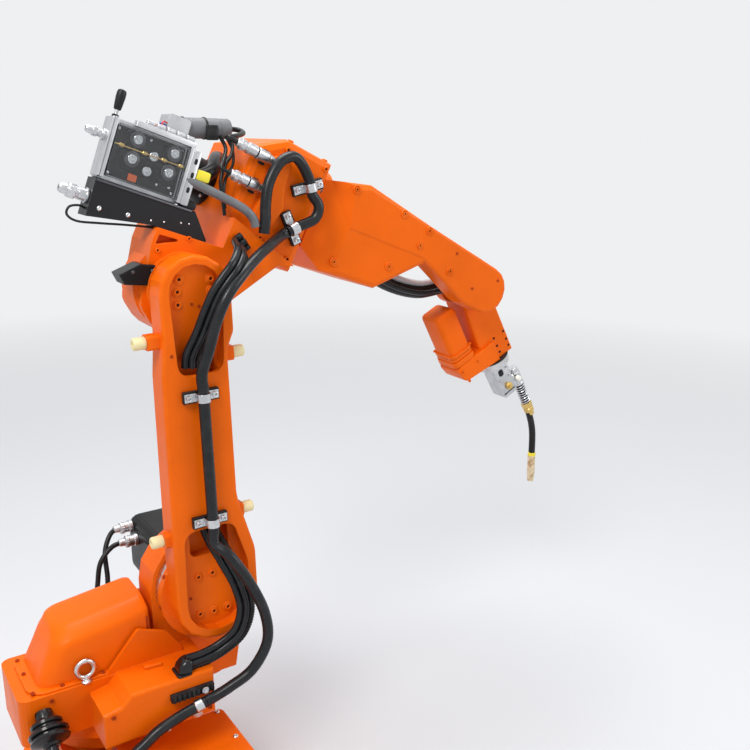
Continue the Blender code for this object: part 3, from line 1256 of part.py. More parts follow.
def build_wrist(frame):
    """Wrist casting beside the beam, with its gear case and motor cover."""
    inner = -BEAM_NEAR + BEAM_THICKNESS + SEAT
    face = FLANGE_REACH - FLANGE_THICKNESS
    hub = drum(WRIST_HUB_RADIUS, inner, WRIST_FAR, "Y")
    back, low, high = WRIST_LINK_SHARES
    link = prism(
        [
            (-WRIST_HUB_RADIUS * back, -WRIST_LINK_BACK * low, WRIST_LINK_BACK / 4),
            (face, -WRIST_LINK_BACK, 0.0),
            (face, WRIST_LINK_FRONT, 0.0),
            (WRIST_HUB_RADIUS * back, WRIST_LINK_FRONT * high, WRIST_LINK_BACK / 4),
            (-WRIST_HUB_RADIUS * back, WRIST_LINK_FRONT * back, WRIST_LINK_BACK / 4),
        ],
        inner + RUNNING_GAP, WRIST_FAR - ARM_EDGE, "Y", ARM_EDGE,
    )
    case = prism(
        [
            (GEAR_CASE_START, -GEAR_CASE_BACK, GEAR_CASE_CORNER),
            (face - GEAR_CASE_CORNER, -GEAR_CASE_BACK * GEAR_CASE_FRONT_SHARE, GEAR_CASE_CORNER),
            (face - CLAMP_EDGE, 0.0, 0.0),
            (GEAR_CASE_START, 0.0, 0.0),
        ],
        -COVER_HALF_WIDTH - CLAMP_EDGE * 2, COVER_HALF_WIDTH + CLAMP_EDGE, "Y", CLAMP_EDGE,
    )
    bore = drum(TORCH_CABLE_RADIUS + SEAT, 0.0, FLANGE_REACH, "X", (0.0, 0.0), SMALL_SIDES)
    half = WRIST_BORE_RADIUS
    far = WRIST_HUB_RADIUS * 2
    mouth = prism(
        [(-far, half, 0.0), (0.0, half, half), (half, 0.0, 0.0), (half, -far, 0.0), (-far, -far, 0.0)],
        -half, half, "Y",
    )
    place("wrist_casting", cut(joined(hub, link, case), bore, mouth), frame, "orange paint")
    cover = prism(
        box_corners(-COVER_HALF_WIDTH, COVER_HALF_WIDTH, -COVER_BACK, -COVER_FRONT, COVER_CORNER),
        COVER_START, GEAR_CASE_START - SEAT, "X", COVER_CORNER / 2,
    )
    place("wrist_motor_cover", cover, frame, "orange paint")
    forearm = frame.parent
    end = [carried((reach, 0.0, 0.0), frame, forearm) for reach in WRIST_CABLE_END]
    mouth_end = BLOCK_FRONT + ROLL_RING_THICKNESS + SEAT + ROOT_RISE * 2
    route = [(mouth_end - reach, 0.0, 0.0) for reach in CABLE_START_REACHES]
    route += [(mouth_end + share * (FOREARM_LENGTH - mouth_end), y, z) for share, y, z in TORCH_CABLE_LOWER_SHARES]
    hose("torch_cable_lower", [*route, *end], TORCH_CABLE_RADIUS, forearm)


def build_tool(frame):
    """Tool flange and welding torch."""
    flange = drum(FLANGE_RADIUS, -FLANGE_THICKNESS + SEAT, 0.0, "X")
    place("tool_flange", flange, frame, "bright steel")
    half = MOUNT_SIZE / 2
    mount = prism(box_corners(-half, half, -half, half, CLAMP_EDGE * 3), SEAT, MOUNT_LENGTH, "X", CLAMP_EDGE)
    place("torch_mount", mount, frame, "aluminium")
    nut = turned(
        [(NUT_RADIUS, MOUNT_LENGTH + SEAT), (NUT_RADIUS, MOUNT_LENGTH + NUT_LENGTH)], "X", (0.0, 0.0), SMALL_SIDES,
    )
    place("torch_nut", nut, frame, "brass")
    hose("torch_neck", TORCH_NECK_ROUTE, NECK_RADIUS, frame)
    tip = Vector(TORCH_NECK_ROUTE[-1])
    aim = (tip - Vector(TORCH_NECK_ROUTE[-2])).normalized()
    profile = (
        (NOZZLE_RADIUS, SEAT), (NOZZLE_RADIUS, NOZZLE_LENGTH * NOZZLE_TAPER_SHARE), (NOZZLE_TIP_RADIUS, NOZZLE_LENGTH),
    )
    place("torch_nozzle", turned_along(tip, aim, profile), frame, "copper")


def main():
    clear_scene()
    frames = make_frames()
    build_base(frames["base"])
    build_swivel(frames["swivel"])
    build_lower_arm(frames["arm"])
    build_elbow(frames["elbow"])
    build_forearm(frames["forearm"])
    build_wrist(frames["wrist"])
    build_tool(frames["flange"])


main()
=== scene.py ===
import json
from math import atan2, cos, pi, radians, sin, tan

import bmesh
import bpy
from mathutils import Matrix, Vector


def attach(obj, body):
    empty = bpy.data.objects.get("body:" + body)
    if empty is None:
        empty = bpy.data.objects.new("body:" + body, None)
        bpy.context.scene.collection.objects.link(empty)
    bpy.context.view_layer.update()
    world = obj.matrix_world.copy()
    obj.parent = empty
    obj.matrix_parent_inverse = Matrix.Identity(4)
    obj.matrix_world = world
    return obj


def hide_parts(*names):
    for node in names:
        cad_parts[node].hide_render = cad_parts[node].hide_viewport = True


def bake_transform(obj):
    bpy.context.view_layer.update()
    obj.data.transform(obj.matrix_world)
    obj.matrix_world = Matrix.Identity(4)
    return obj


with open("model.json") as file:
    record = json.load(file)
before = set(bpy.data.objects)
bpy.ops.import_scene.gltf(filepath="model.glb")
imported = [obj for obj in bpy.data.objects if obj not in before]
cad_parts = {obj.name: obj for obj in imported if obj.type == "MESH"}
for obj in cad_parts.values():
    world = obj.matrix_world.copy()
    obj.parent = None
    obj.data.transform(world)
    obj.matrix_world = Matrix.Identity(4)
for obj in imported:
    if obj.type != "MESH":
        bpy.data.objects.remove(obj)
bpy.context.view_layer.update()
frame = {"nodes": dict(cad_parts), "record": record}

NODES = frame["nodes"]


# The frames of the joints and of what stands on them. Their sizes, and all sizes of the
# pieces below, are in millimetres: every frame carries the scale that makes them metres.
UNIT = Matrix.Scale(0.001, 4)


def frame_at(x, z, tilt, y=0):
    return UNIT @ Matrix.Translation((x, y, z)) @ Matrix.Rotation(radians(tilt), 4, "Y")


# ROW is the shared frame itself
ROW = UNIT
ARM = frame_at(150, 450, -1.2)
ELBOW = frame_at(138.06, 1019.87, 26.5)
BRACKET = frame_at(-1.53, 1165.71, 20.5)
FEEDER = frame_at(14.58, 1208.8, 20.5)
FEED_MOTOR = frame_at(224.97, 1286.07, 1.5, -55.7)
FOREARM = frame_at(249.61, 1243.61, 26.5)
WRIST = frame_at(862.64, 937.96, 63)
FLANGE = frame_at(963.43, 740.16, 63)
# The axes of a place on each side, and which coordinates run across, up and out of it
SIDES = {
    "near": ((1, 0, 0), (0, 0, 1), (0, -1, 0), (0, 2, 1)),
    "far": ((-1, 0, 0), (0, 0, 1), (0, 1, 0), (0, 2, 1)),
    "top": ((1, 0, 0), (0, 1, 0), (0, 0, 1), (0, 1, 2)),
    "front": ((0, 1, 0), (0, 0, 1), (1, 0, 0), (1, 2, 0)),
    "rear": ((0, -1, 0), (0, 0, 1), (-1, 0, 0), (1, 2, 0)),
}


def on(place, side, x=0, y=0, z=0):
    """A matrix at a point of a frame whose Z axis points out of the named side."""
    return place @ Matrix.Translation((x, y, z)) @ Matrix(SIDES[side][:3]).transposed().to_4x4()


def facing(place, side, depth, pairs):
    """Places on one side of a frame, all at one depth."""
    result = []
    for pair in pairs:
        point = [depth] * 3
        for axis, value in zip(SIDES[side][3], pair):
            point[axis] = value
        result.append(on(place, side, *point))
    return result


def shifted(place, x=0, y=0, z=0):
    """A place moved along its own axes."""
    return place @ Matrix.Translation((x, y, z))


def spun(place, count, reach, height, start=0.0):
    """Places round the Z axis of another place."""
    angles = [start + 2 * pi * step / count for step in range(count)]
    return [shifted(place @ Matrix.Rotation(angle, 4, "Z"), reach, 0, height) for angle in angles]


def aimed(place, point, along, across=(0, -1, 0)):
    """A place at a point of a frame, its Z axis along one direction and its Y axis near another."""
    z = Vector(along).normalized()
    x = Vector(across).cross(z).normalized()
    matrix = Matrix((x, z.cross(x), z)).transposed().to_4x4()
    matrix.translation = point
    return place @ matrix


def ringed(place, side, centre, radius, count, depth, start=0):
    """Places on a circle on one side of a frame; depth is the coordinate along that side's normal."""
    a, b, c = (Vector(axis) for axis in SIDES[side][:3])
    result = []
    for x, y in circle(count, radians(start)):
        point = a * (centre[0] + radius * x) + b * (centre[1] + radius * y) + c * depth
        result.append(on(place, side, *point))
    return result


def circle(count, start=0.0):
    return [(cos(start + 2 * pi * step / count), sin(start + 2 * pi * step / count)) for step in range(count)]


# Materials
def shader_of(name, colour, roughness, metallic=0.0, **sockets):
    """A new material with its Principled shader set, and its tree."""
    material = bpy.data.materials.new(name)
    material.use_nodes = True
    tree = material.node_tree
    shader = tree.nodes["Principled BSDF"]
    shader.inputs["Base Color"].default_value = (*colour, 1.0)
    shader.inputs["Roughness"].default_value = roughness
    shader.inputs["Metallic"].default_value = metallic
    for socket, value in sockets.items():
        shader.inputs[socket.replace("_", " ")].default_value = value
    return material, tree, shader


def node(tree, kind, values=(), **settings):
    """A shader node with its settings and its input values or links."""
    item = tree.nodes.new("ShaderNode" + kind)
    for key, value in settings.items():
        setattr(item, key, value)
    for socket, value in dict(values).items():
        if isinstance(value, bpy.types.NodeSocket):
            tree.links.new(value, item.inputs[socket])
        else:
            item.inputs[socket].default_value = value
    return item


def grain(tree, scale, detail=3.0, stretch=(1.0, 1.0, 1.0), roughness=0.55):
    """Noise in metres of the object's own space."""
    where = node(tree, "TexCoord").outputs["Object"]
    moved = node(tree, "Mapping", {"Vector": where, "Scale": stretch})
    noise = node(tree, "TexNoise", {
        "Vector": moved.outputs["Vector"], "Scale": scale, "Detail": detail, "Roughness": roughness,
    })
    return noise.outputs["Fac"]


def ranged(tree, value, low, high, to_low=0.0, to_high=1.0):
    item = node(tree, "MapRange", {
        "Value": value, "From Min": low, "From Max": high, "To Min": to_low, "To Max": to_high,
    })
    return item.outputs["Result"]


def blended(tree, mask, first, second):
    """A colour mix of two colours or sockets by a mask."""
    item = node(tree, "Mix", data_type="RGBA")
    tree.links.new(mask, item.inputs[0])
    for socket, value in ((item.inputs[6], first), (item.inputs[7], second)):
        if isinstance(value, bpy.types.NodeSocket):
            tree.links.new(value, socket)
        else:
            socket.default_value = (*value, 1.0)
    return item.outputs[2]


def bumped(tree, shader, heights, bevel=0.0):
    """Bump from (height socket, strength, distance) layers, over edges rounded by the bevel."""
    normal = None
    if bevel > 0:
        normal = node(tree, "Bevel", {"Radius": bevel}, samples=4).outputs["Normal"]
    for height, strength, distance in heights:
        values = {"Height": height, "Strength": strength, "Distance": distance}
        if normal is not None:
            values["Normal"] = normal
        normal = node(tree, "Bump", values).outputs["Normal"]
    tree.links.new(normal, shader.inputs["Normal"])


def edge_mask(tree, radius):
    """Near 1 along convex and concave edges, from the difference of a rounded and the true normal."""
    true = node(tree, "NewGeometry").outputs["Normal"]
    soft = node(tree, "Bevel", {"Radius": radius}, samples=4).outputs["Normal"]
    dot = node(tree, "VectorMath", {0: true, 1: soft}, operation="DOT_PRODUCT").outputs["Value"]
    return ranged(tree, dot, 1.0, 0.86)


def paint(name, colour, wear_and_highlight_colour, roughness, bevel=0.0016, coat=0.02):
    """Enamel with a faint orange peel, uneven gloss, shade variation and edges lightened in patches, partly
    wear and partly a painted highlight.
    """
    material, tree, shader = shader_of(
        name, colour, roughness, 0.0, Coat_Weight=coat, Coat_Roughness=0.16, Specular_IOR_Level=0.11
    )
    shade = ranged(tree, grain(tree, 5.0, 4.0), 0.3, 0.7)
    deep = tuple(channel * 0.84 for channel in colour)
    base = blended(tree, shade, deep, colour)
    specks = ranged(tree, grain(tree, 240.0, 2.0), 0.62, 0.76)
    # Lighter edge colour in patches: partly paint wear, partly a painted highlight along every edge.
    wear_and_highlight_inputs = {0: edge_mask(tree, bevel * 1.4), 1: ranged(tree, grain(tree, 60.0, 4.0), 0.42, 0.62)}
    edges = node(tree, "Math", wear_and_highlight_inputs, operation="MULTIPLY").outputs["Value"]
    dark = tuple(channel * 0.6 for channel in colour)
    base = blended(tree, ranged(tree, specks, 0.0, 1.0, 0.0, 0.22), base, dark)
    base = blended(tree, ranged(tree, edges, 0.0, 1.0, 0.0, 0.55), base, wear_and_highlight_colour)
    tree.links.new(base, shader.inputs["Base Color"])
    gloss = ranged(tree, grain(tree, 14.0, 5.0), 0.25, 0.75, roughness - 0.07, roughness + 0.12)
    tree.links.new(gloss, shader.inputs["Roughness"])
    peel, waves = grain(tree, 420.0, 2.0), grain(tree, 38.0, 3.0)
    bumped(tree, shader, [(peel, 0.10, 0.0006), (waves, 0.12, 0.0012)], bevel)
    return material


def rubber(name, colour, roughness, dust=0.10, coat=0.0):
    """Hose or moulded rubber with a soft sheen, fine grain and a little dust."""
    material, tree, shader = shader_of(
        name, colour, roughness, 0.0, Coat_Weight=coat, Coat_Roughness=0.25, Specular_IOR_Level=0.2
    )
    grey = tuple(min(1.0, channel + 0.10) for channel in colour)
    mask = ranged(tree, grain(tree, 45.0, 5.0), 0.45, 0.8, 0.0, dust * 4)
    tree.links.new(blended(tree, mask, colour, grey), shader.inputs["Base Color"])
    gloss = ranged(tree, grain(tree, 70.0, 4.0), 0.3, 0.7, roughness - 0.08, roughness + 0.10)
    tree.links.new(gloss, shader.inputs["Roughness"])
    fine, coarse = grain(tree, 900.0, 2.0), grain(tree, 90.0, 2.0)
    bumped(tree, shader, [(fine, 0.10, 0.0004), (coarse, 0.10, 0.0006)])
    return material


def metal(name, colour, roughness, stretch=(1.0, 1.0, 14.0), bevel=0.0008, stain=0.16):
    """Machined metal with drawn lines, stains and bright rounded edges."""
    material, tree, shader = shader_of(name, colour, roughness, 1.0)
    dull = tuple(channel * (1.0 - stain) for channel in colour)
    mask = ranged(tree, grain(tree, 55.0, 5.0), 0.35, 0.7)
    tree.links.new(blended(tree, mask, colour, dull), shader.inputs["Base Color"])
    gloss = ranged(tree, grain(tree, 120.0, 4.0), 0.25, 0.75, roughness - 0.08, roughness + 0.12)
    tree.links.new(gloss, shader.inputs["Roughness"])
    lines = grain(tree, 260.0, 3.0, stretch)
    bumped(tree, shader, [(lines, 0.18, 0.0004)], bevel)
    return material


def clear(name):
    """Clear plastic, a little smoked, with faint scratches."""
    material, tree, shader = shader_of(
        name, (0.90, 0.92, 0.93), 0.05, 0.0, Transmission_Weight=1.0, IOR=1.46, Specular_IOR_Level=0.5
    )
    marks = ranged(tree, grain(tree, 320.0, 3.0, (1.0, 1.0, 0.08)), 0.55, 0.8, 0.03, 0.22)
    tree.links.new(marks, shader.inputs["Roughness"])
    bumped(tree, shader, [(grain(tree, 12.0, 2.0), 0.06, 0.001)])
    return material


def burnt(name, colour, dark):
    """Metal or ceramic that heat has darkened in patches."""
    material, tree, shader = shader_of(name, colour, 0.42, 0.55)
    mask = ranged(tree, grain(tree, 70.0, 5.0), 0.4, 0.68)
    tree.links.new(blended(tree, mask, colour, dark), shader.inputs["Base Color"])
    bumped(tree, shader, [(grain(tree, 500.0, 3.0), 0.2, 0.0005)], 0.0006)
    return material


# The second colour of each paint lightens its edges: partly wear, partly a painted highlight.
ORANGE = paint("orange_enamel", (0.88, 0.138, 0.002), (0.98, 0.32, 0.05), 0.34)
# A darker copy of the orange enamel: painted shade on recessed screws, small holes and slots.
ORANGE_PAINTED_SHADE = paint("orange_enamel_painted_shade", (0.42, 0.050, 0.006), (0.6, 0.12, 0.03), 0.5, 0.0004, 0.0)
SOCKET_DARK = paint("socket_shadow", (0.060, 0.012, 0.006), (0.1, 0.03, 0.02), 0.6, 0.0004, 0.0)
BLACK_PAINT = paint("black_enamel", (0.012, 0.012, 0.013), (0.10, 0.10, 0.10), 0.32, 0.0012)
DARK_FRAME = paint("dark_frame_paint", (0.020, 0.020, 0.022), (0.16, 0.16, 0.16), 0.42, 0.0006, 0.1)
HOSE = rubber("hose_rubber", (0.012, 0.013, 0.015), 0.26, 0.03, 0.12)
GREY_HOSE = rubber("grey_hose_rubber", (0.13, 0.14, 0.15), 0.32, 0.08, 0.3)
CONDUIT = rubber("conduit_rubber", (0.010, 0.010, 0.011), 0.34, 0.03, 0.1)
SILVER_SLEEVE = rubber("silver_sleeve", (0.56, 0.58, 0.61), 0.34, 0.1, 0.4)
BOOT = rubber("boot_rubber", (0.006, 0.006, 0.007), 0.14, 0.01, 0.35)
PLASTIC = rubber("black_plastic", (0.014, 0.014, 0.015), 0.38, 0.06)
CREAM = rubber("cream_rubber_moulded", (0.80, 0.70, 0.40), 0.55, 0.0)
WHITE_PLASTIC = rubber("white_plastic", (0.82, 0.80, 0.72), 0.35, 0.0)
YELLOW = rubber("yellow_plastic", (0.86, 0.72, 0.06), 0.40, 0.0)
TAG = rubber("orange_tag", (0.85, 0.16, 0.04), 0.45, 0.0)
RED_WIRE = rubber("red_wire", (0.55, 0.04, 0.05), 0.42, 0.0)
BLUE_WIRE = rubber("blue_wire", (0.06, 0.10, 0.40), 0.42, 0.0)
STEEL = metal("bright_steel_turned", (0.66, 0.66, 0.67), 0.22)
GREY_PAINT = paint("grey_enamel", (0.20, 0.205, 0.215), (0.42, 0.42, 0.43), 0.38)
ZINC = metal("zinc_plated", (0.64, 0.65, 0.67), 0.26, (1.0, 1.0, 1.0))
ALUMINIUM = metal("milled_aluminium", (0.58, 0.59, 0.61), 0.36, (8.0, 1.0, 1.0))
DARK_STEEL = metal("dark_steel", (0.10, 0.10, 0.11), 0.38, (1.0, 1.0, 1.0))
BRASS = metal("turned_brass", (0.72, 0.50, 0.17), 0.28)
COPPER = burnt("burnt_nozzle", (0.78, 0.66, 0.44), (0.38, 0.20, 0.08))
CLEAR = clear("clear_plastic")
# The materials of each slot; the CAD nodes wear the first
SLOTS = {
    "orange_paint": (ORANGE, ORANGE_PAINTED_SHADE, SOCKET_DARK),
    "black_paint": (BLACK_PAINT,),
    "black_rubber": (HOSE, GREY_HOSE, CONDUIT, SILVER_SLEEVE, BOOT, RED_WIRE, BLUE_WIRE),
    "black_plastic": (PLASTIC, WHITE_PLASTIC, YELLOW, TAG),
    "cream_rubber": (CREAM,),
    "bright_steel": (STEEL, ZINC, DARK_STEEL),
    "bare_aluminium": (ALUMINIUM, GREY_PAINT),
    "dark_frame": (DARK_FRAME,),
    "clear_cover": (CLEAR,),
    "brass": (BRASS,),
    "copper": (COPPER,),
}


def dress_nodes():
    """Give every CAD node the detailed material of its slot."""
    for entry in frame["record"]["subparts"]:
        item = NODES[entry["node"]]
        item.data.materials.clear()
        item.data.materials.append(SLOTS[entry["material_slot"]][0])


# Mesh building: each of these adds to an open bmesh
def row_of(mesh, place, points):
    return [mesh.verts.new(place @ Vector(point)) for point in points]


def turn(mesh, place, profile, sides=24, hexes=()):
    """A solid turned from (radius, height) pairs; the steps named in hexes are six-sided."""
    rows = []
    for index, (radius, height) in enumerate(profile):
        if radius == 0:
            rows.append(row_of(mesh, place, [(0, 0, height)]))
            continue
        row = []
        for step in range(sides):
            angle = 2 * pi * step / sides
            reach = radius
            if index in hexes:
                reach *= cos(pi / 6) / cos(angle % (pi / 3) - pi / 6)
            row.append((reach * cos(angle), reach * sin(angle), height))
        rows.append(row_of(mesh, place, row))
    close_rows(mesh, rows)


def close_rows(mesh, rows):
    """Faces between rows of as many points each, or a single point, with closed ends."""
    for low, high in zip(rows, rows[1:]):
        count = max(len(low), len(high))
        if count == 1:
            continue
        for step in range(count):
            after = step + 1
            corners = [
                low[step % len(low)], low[after % len(low)], high[after % len(high)], high[step % len(high)],
            ]
            mesh.faces.new(list(dict.fromkeys(corners)))
    for row in (rows[0], rows[-1]):
        if len(row) > 2:
            mesh.faces.new(row)


def wall_rows(mesh, low, high):
    """Faces between two closed rows."""
    for step in range(len(low)):
        mesh.faces.new((low[step - 1], low[step], high[step], high[step - 1]))


def ring_rows(mesh, rows):
    """Faces round rows whose last joins the first again, as on a torus."""
    for index, high in enumerate(rows):
        wall_rows(mesh, rows[index - 1], high)


def offset(outline, distance):
    """An outline moved inwards by a distance, its corners mitred."""
    area = sum(a[0] * b[1] - b[0] * a[1] for a, b in zip(outline, outline[1:] + outline[:1]))
    sign = 1.0 if area > 0 else -1.0
    result = []
    for index, point in enumerate(outline):
        here = Vector(point)
        first = (here - Vector(outline[index - 1])).normalized()
        second = (Vector(outline[(index + 1) % len(outline)]) - here).normalized()
        a, b = Vector((-first.y, first.x)) * sign, Vector((-second.y, second.x)) * sign
        result.append(tuple(here + (a + b) * (distance / max(0.3, 1.0 + a.dot(b)))))
    return result


def rounded(corners):
    """An outline whose corners (a, b, radius) are arcs, worked out in metres."""
    outline = []
    corners = [tuple(value / 1000 for value in corner) for corner in corners]
    for index, (a, b, radius) in enumerate(corners):
        here = Vector((a, b))
        back = Vector(corners[index - 1][:2]) - here
        ahead = Vector(corners[(index + 1) % len(corners)][:2]) - here
        if radius <= 0:
            outline.append((a * 1000, b * 1000))
            continue
        half = back.angle(ahead) / 2
        reach = min(radius / tan(half), back.length * 0.49, ahead.length * 0.49)
        radius = reach * tan(half)
        centre = here + (back.normalized() + ahead.normalized()).normalized() * radius / sin(half)
        first = here + back.normalized() * reach - centre
        last = here + ahead.normalized() * reach - centre
        span = atan2(first.x * last.y - first.y * last.x, first.dot(last))
        start = atan2(first.y, first.x)
        steps = max(1, round(abs(span) / radians(12)))
        for step in range(steps + 1):
            angle = start + span * step / steps
            outline.append(tuple((centre + Vector((cos(angle), sin(angle))) * radius) * 1000))
    return outline


def rectangle(a_low, a_high, b_low, b_high, radius=0):
    corners = (a_low, b_low), (a_high, b_low), (a_high, b_high), (a_low, b_high)
    return rounded([(*corner, radius) for corner in corners])


def stack(mesh, place, outline, levels):
    """A closed solid through one outline at (height, inset) levels."""
    rows = []
    for height, inset in levels:
        line = offset(outline, inset) if inset else outline
        rows.append(row_of(mesh, place, [(a, b, height) for a, b in line]))
    close_rows(mesh, rows)


def slab(mesh, place, outline, low, high, edge=0.6):
    """An outline raised along Z, with its upper edge rounded."""
    stack(mesh, place, outline, [(low, 0), (high - edge, 0), (high - edge * 0.35, edge * 0.3), (high, edge)])


def smooth_route(points, spacing):
    """Points at about one spacing along a smooth curve through the given ones."""
    route = [Vector(point) for point in points]
    padded = [route[0] * 2 - route[1], *route, route[-1] * 2 - route[-2]]
    result = [route[0]]
    for before, start, end, after in zip(padded, padded[1:], padded[2:], padded[3:]):
        steps = max(1, round((end - start).length / spacing))
        for step in range(1, steps + 1):
            t = step / steps
            bend = 2 * before - 5 * start + 4 * end - after
            curl = 3 * start - before - 3 * end + after
            result.append(start + (end - before) * t / 2 + bend * t * t / 2 + curl * t ** 3 / 2)
    return result


def follow(mesh, place, route, side, sides, reaches, shift=(0, 0)):
    """A round section carried along a route, its radii taken in turn from reaches."""
    rows, last = [], len(route) - 1
    for index, middle in enumerate(route):
        along = (route[min(index + 1, last)] - route[max(index - 1, 0)]).normalized()
        side = (side - along * side.dot(along)).normalized()
        other = along.cross(side)
        centre = middle + side * shift[0] + other * shift[1]
        reach = reaches[index % len(reaches)]
        rows.append(row_of(mesh, place, [centre + (side * a + other * b) * reach for a, b in circle(sides)]))
    close_rows(mesh, rows)


def tube(mesh, place, points, radius, sides=18, ribs=0.0, pitch=4.0, shift=(0, 0)):
    """A round hose along a route; ribs is the depth of its corrugation, shift moves it across and outward."""
    route = smooth_route(points, pitch / 4 if ribs else radius * 0.7)
    side = (route[1] - route[0]).cross(Vector((0, 1, 0))).normalized()
    follow(mesh, place, route, side, sides, [radius - ribs * share for share in (0.0, 0.5, 1.0, 0.5)], shift)


def socket_screw(mesh, place, radius, height):
    """A cylinder head screw with its hexagon socket."""
    turn(mesh, place, [
        (radius, 0), (radius, height * 0.8), (radius * 0.94, height * 0.94), (radius * 0.84, height),
        (radius * 0.58, height), (radius * 0.52, height * 0.9), (radius * 0.5, height * 0.3),
        (0, height * 0.3),
    ], 24, (5, 6))


def hex_bolt(mesh, place, radius, height):
    """A hexagon head on its washer."""
    turn(mesh, place, [
        (radius * 1.35, 0), (radius * 1.35, height * 0.22), (radius * 1.28, height * 0.28),
        (radius, height * 0.28), (radius, height * 0.92), (radius * 0.86, height), (0, height),
    ], 24, (3, 4))


def dome_screw(mesh, place, radius, height):
    """A low domed head with a dimple."""
    turn(mesh, place, [
        (radius, 0), (radius, height * 0.35), (radius * 0.8, height * 0.8), (radius * 0.45, height),
        (radius * 0.3, height * 0.7), (0, height * 0.55),
    ], 18)


def turn_ring(mesh, place, radius, width, thickness, sides=28):
    """An open ring: inner radius, width along Z and wall thickness."""
    half, outer = width / 2, radius + thickness
    profile = [(radius, -half), (outer, -half * 0.8), (outer, half * 0.8), (radius, half)]
    ring_rows(mesh, [row_of(mesh, place, [(r * a, r * b, h) for r, h in profile]) for a, b in circle(sides)])


# Pieces: a build function fills a bmesh, and add makes the object
def each(maker, places, *sizes):
    """A build function that makes one small part at each place."""
    def build(mesh):
        for place in places:
            maker(mesh, place, *sizes)
    return build


def turned(place, *sizes):
    return each(turn, [place], *sizes)


def slabs(*items):
    """A build function for several slabs, each given as slab takes it."""
    def build(mesh):
        for item in items:
            slab(mesh, *item)
    return build


def tubed(place, *sizes):
    return each(tube, [place], *sizes)


def add(name, body, material, build, *replaced, slot=None):
    """A piece riding on its body, or on none where no body is given."""
    mesh = bmesh.new()
    build(mesh)
    bmesh.ops.recalc_face_normals(mesh, faces=mesh.faces)
    data = bpy.data.meshes.new(name)
    mesh.to_mesh(data)
    mesh.free()
    data.materials.append(material)
    data.shade_smooth()
    data.set_sharp_from_angle(angle=radians(34))
    item = bpy.data.objects.new(name, data)
    bpy.context.scene.collection.objects.link(item)
    if body:
        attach(item, body)
    if replaced:
        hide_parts(*replaced)
    return item


def painted_bolts(label, body, places, radius, height):
    """Screws painted with the casting, their sockets dark."""
    add(label, body, ORANGE, each(socket_screw, places, radius, height))
    floor = [(radius * 0.49, 0), (radius * 0.49, height * 0.1), (0, height * 0.1)]
    floors = [shifted(place, z=height * 0.3) for place in places]
    add(label + "_sockets", body, SOCKET_DARK, each(turn, floors, floor, 12))


# Camera, light and floor
def make_camera():
    """The camera at the photograph's viewing angle."""
    turn_angle, down = radians(33), radians(15.5)
    forward = Vector((sin(turn_angle) * cos(down), cos(turn_angle) * cos(down), -sin(down)))
    right = Vector((cos(turn_angle), -sin(turn_angle), 0.0))
    up = right.cross(forward)
    data = bpy.data.cameras.new("photo_camera")
    data.lens, data.sensor_width = 43.2, 36.0
    data.clip_end = 60.0
    item = bpy.data.objects.new("photo_camera", data)
    bpy.context.scene.collection.objects.link(item)
    matrix = Matrix((right, up, -forward)).transposed().to_4x4()
    matrix.translation = Vector((-0.4203, -1.6097, 1.2911))
    item.matrix_world = matrix
    bpy.context.scene.camera = item


def make_world():
    """A soft world whose background the camera, metal and glass see as pale grey."""
    world = bpy.data.worlds.new("studio")
    bpy.context.scene.world = world
    world.use_nodes = True
    tree = world.node_tree
    tree.nodes.clear()
    out = node(tree, "OutputWorld")
    lit = node(tree, "Background", {"Color": (0.93, 0.96, 1.0, 1.0), "Strength": 0.50})
    seen = node(tree, "Background", {"Color": (0.86, 0.87, 0.88, 1.0), "Strength": 1.0})
    path = node(tree, "LightPath")
    rays = {0: path.outputs["Is Glossy Ray"], 1: path.outputs["Is Transmission Ray"]}
    mirror = node(tree, "Math", rays, operation="MAXIMUM")
    rays = {0: path.outputs["Is Camera Ray"], 1: mirror.outputs["Value"]}
    direct = node(tree, "Math", rays, operation="MAXIMUM")
    mix = node(tree, "MixShader")
    tree.links.new(direct.outputs["Value"], mix.inputs["Fac"])
    tree.links.new(lit.outputs["Background"], mix.inputs[1])
    tree.links.new(seen.outputs["Background"], mix.inputs[2])
    tree.links.new(mix.outputs["Shader"], out.inputs["Surface"])


def area_lamp(name, place, aim, size, power, colour=(1.0, 1.0, 1.0)):
    data = bpy.data.lights.new(name, "AREA")
    data.shape, data.size, data.energy, data.color = "DISK", size, power, colour
    lamp = bpy.data.objects.new(name, data)
    bpy.context.scene.collection.objects.link(lamp)
    lamp.location = place
    lamp.rotation_euler = (Vector(aim) - Vector(place)).to_track_quat("-Z", "Y").to_euler()


def make_studio():
    make_world()
    area_lamp("key_lamp", (-1.8, -1.6, 3.6), (0.3, 0.0, 0.7), 1.6, 90.0, (1.0, 0.97, 0.93))
    area_lamp("roof_lamp", (0.6, 0.6, 4.2), (0.4, 0.0, 0.6), 2.6, 122.0)
    area_lamp("side_lamp", (3.2, -2.4, 2.2), (0.4, 0.0, 0.7), 1.8, 40.0)
    mesh = bpy.data.meshes.new("floor")
    mesh.from_pydata([(-40, -40, 0), (40, -40, 0), (40, 40, 0), (-40, 40, 0)], [], [(0, 1, 2, 3)])
    floor = bpy.data.objects.new("floor", mesh)
    bpy.context.scene.collection.objects.link(floor)
    floor.location.z = -0.0005
    material, tree, shader = shader_of("floor_paint", (0.60, 0.61, 0.63), 0.8)
    place = node(tree, "TexCoord").outputs["Object"]
    away = node(tree, "VectorMath", {0: place}, operation="LENGTH").outputs["Value"]
    pale = node(tree, "Emission", {"Color": (0.86, 0.87, 0.88, 1.0), "Strength": 1.0})
    mix = node(tree, "MixShader", {"Fac": ranged(tree, away, 1.2, 5.0)})
    tree.links.new(shader.outputs["BSDF"], mix.inputs[1])
    tree.links.new(pale.outputs["Emission"], mix.inputs[2])
    tree.links.new(mix.outputs["Shader"], tree.nodes["Material Output"].inputs["Surface"])
    mesh.materials.append(material)


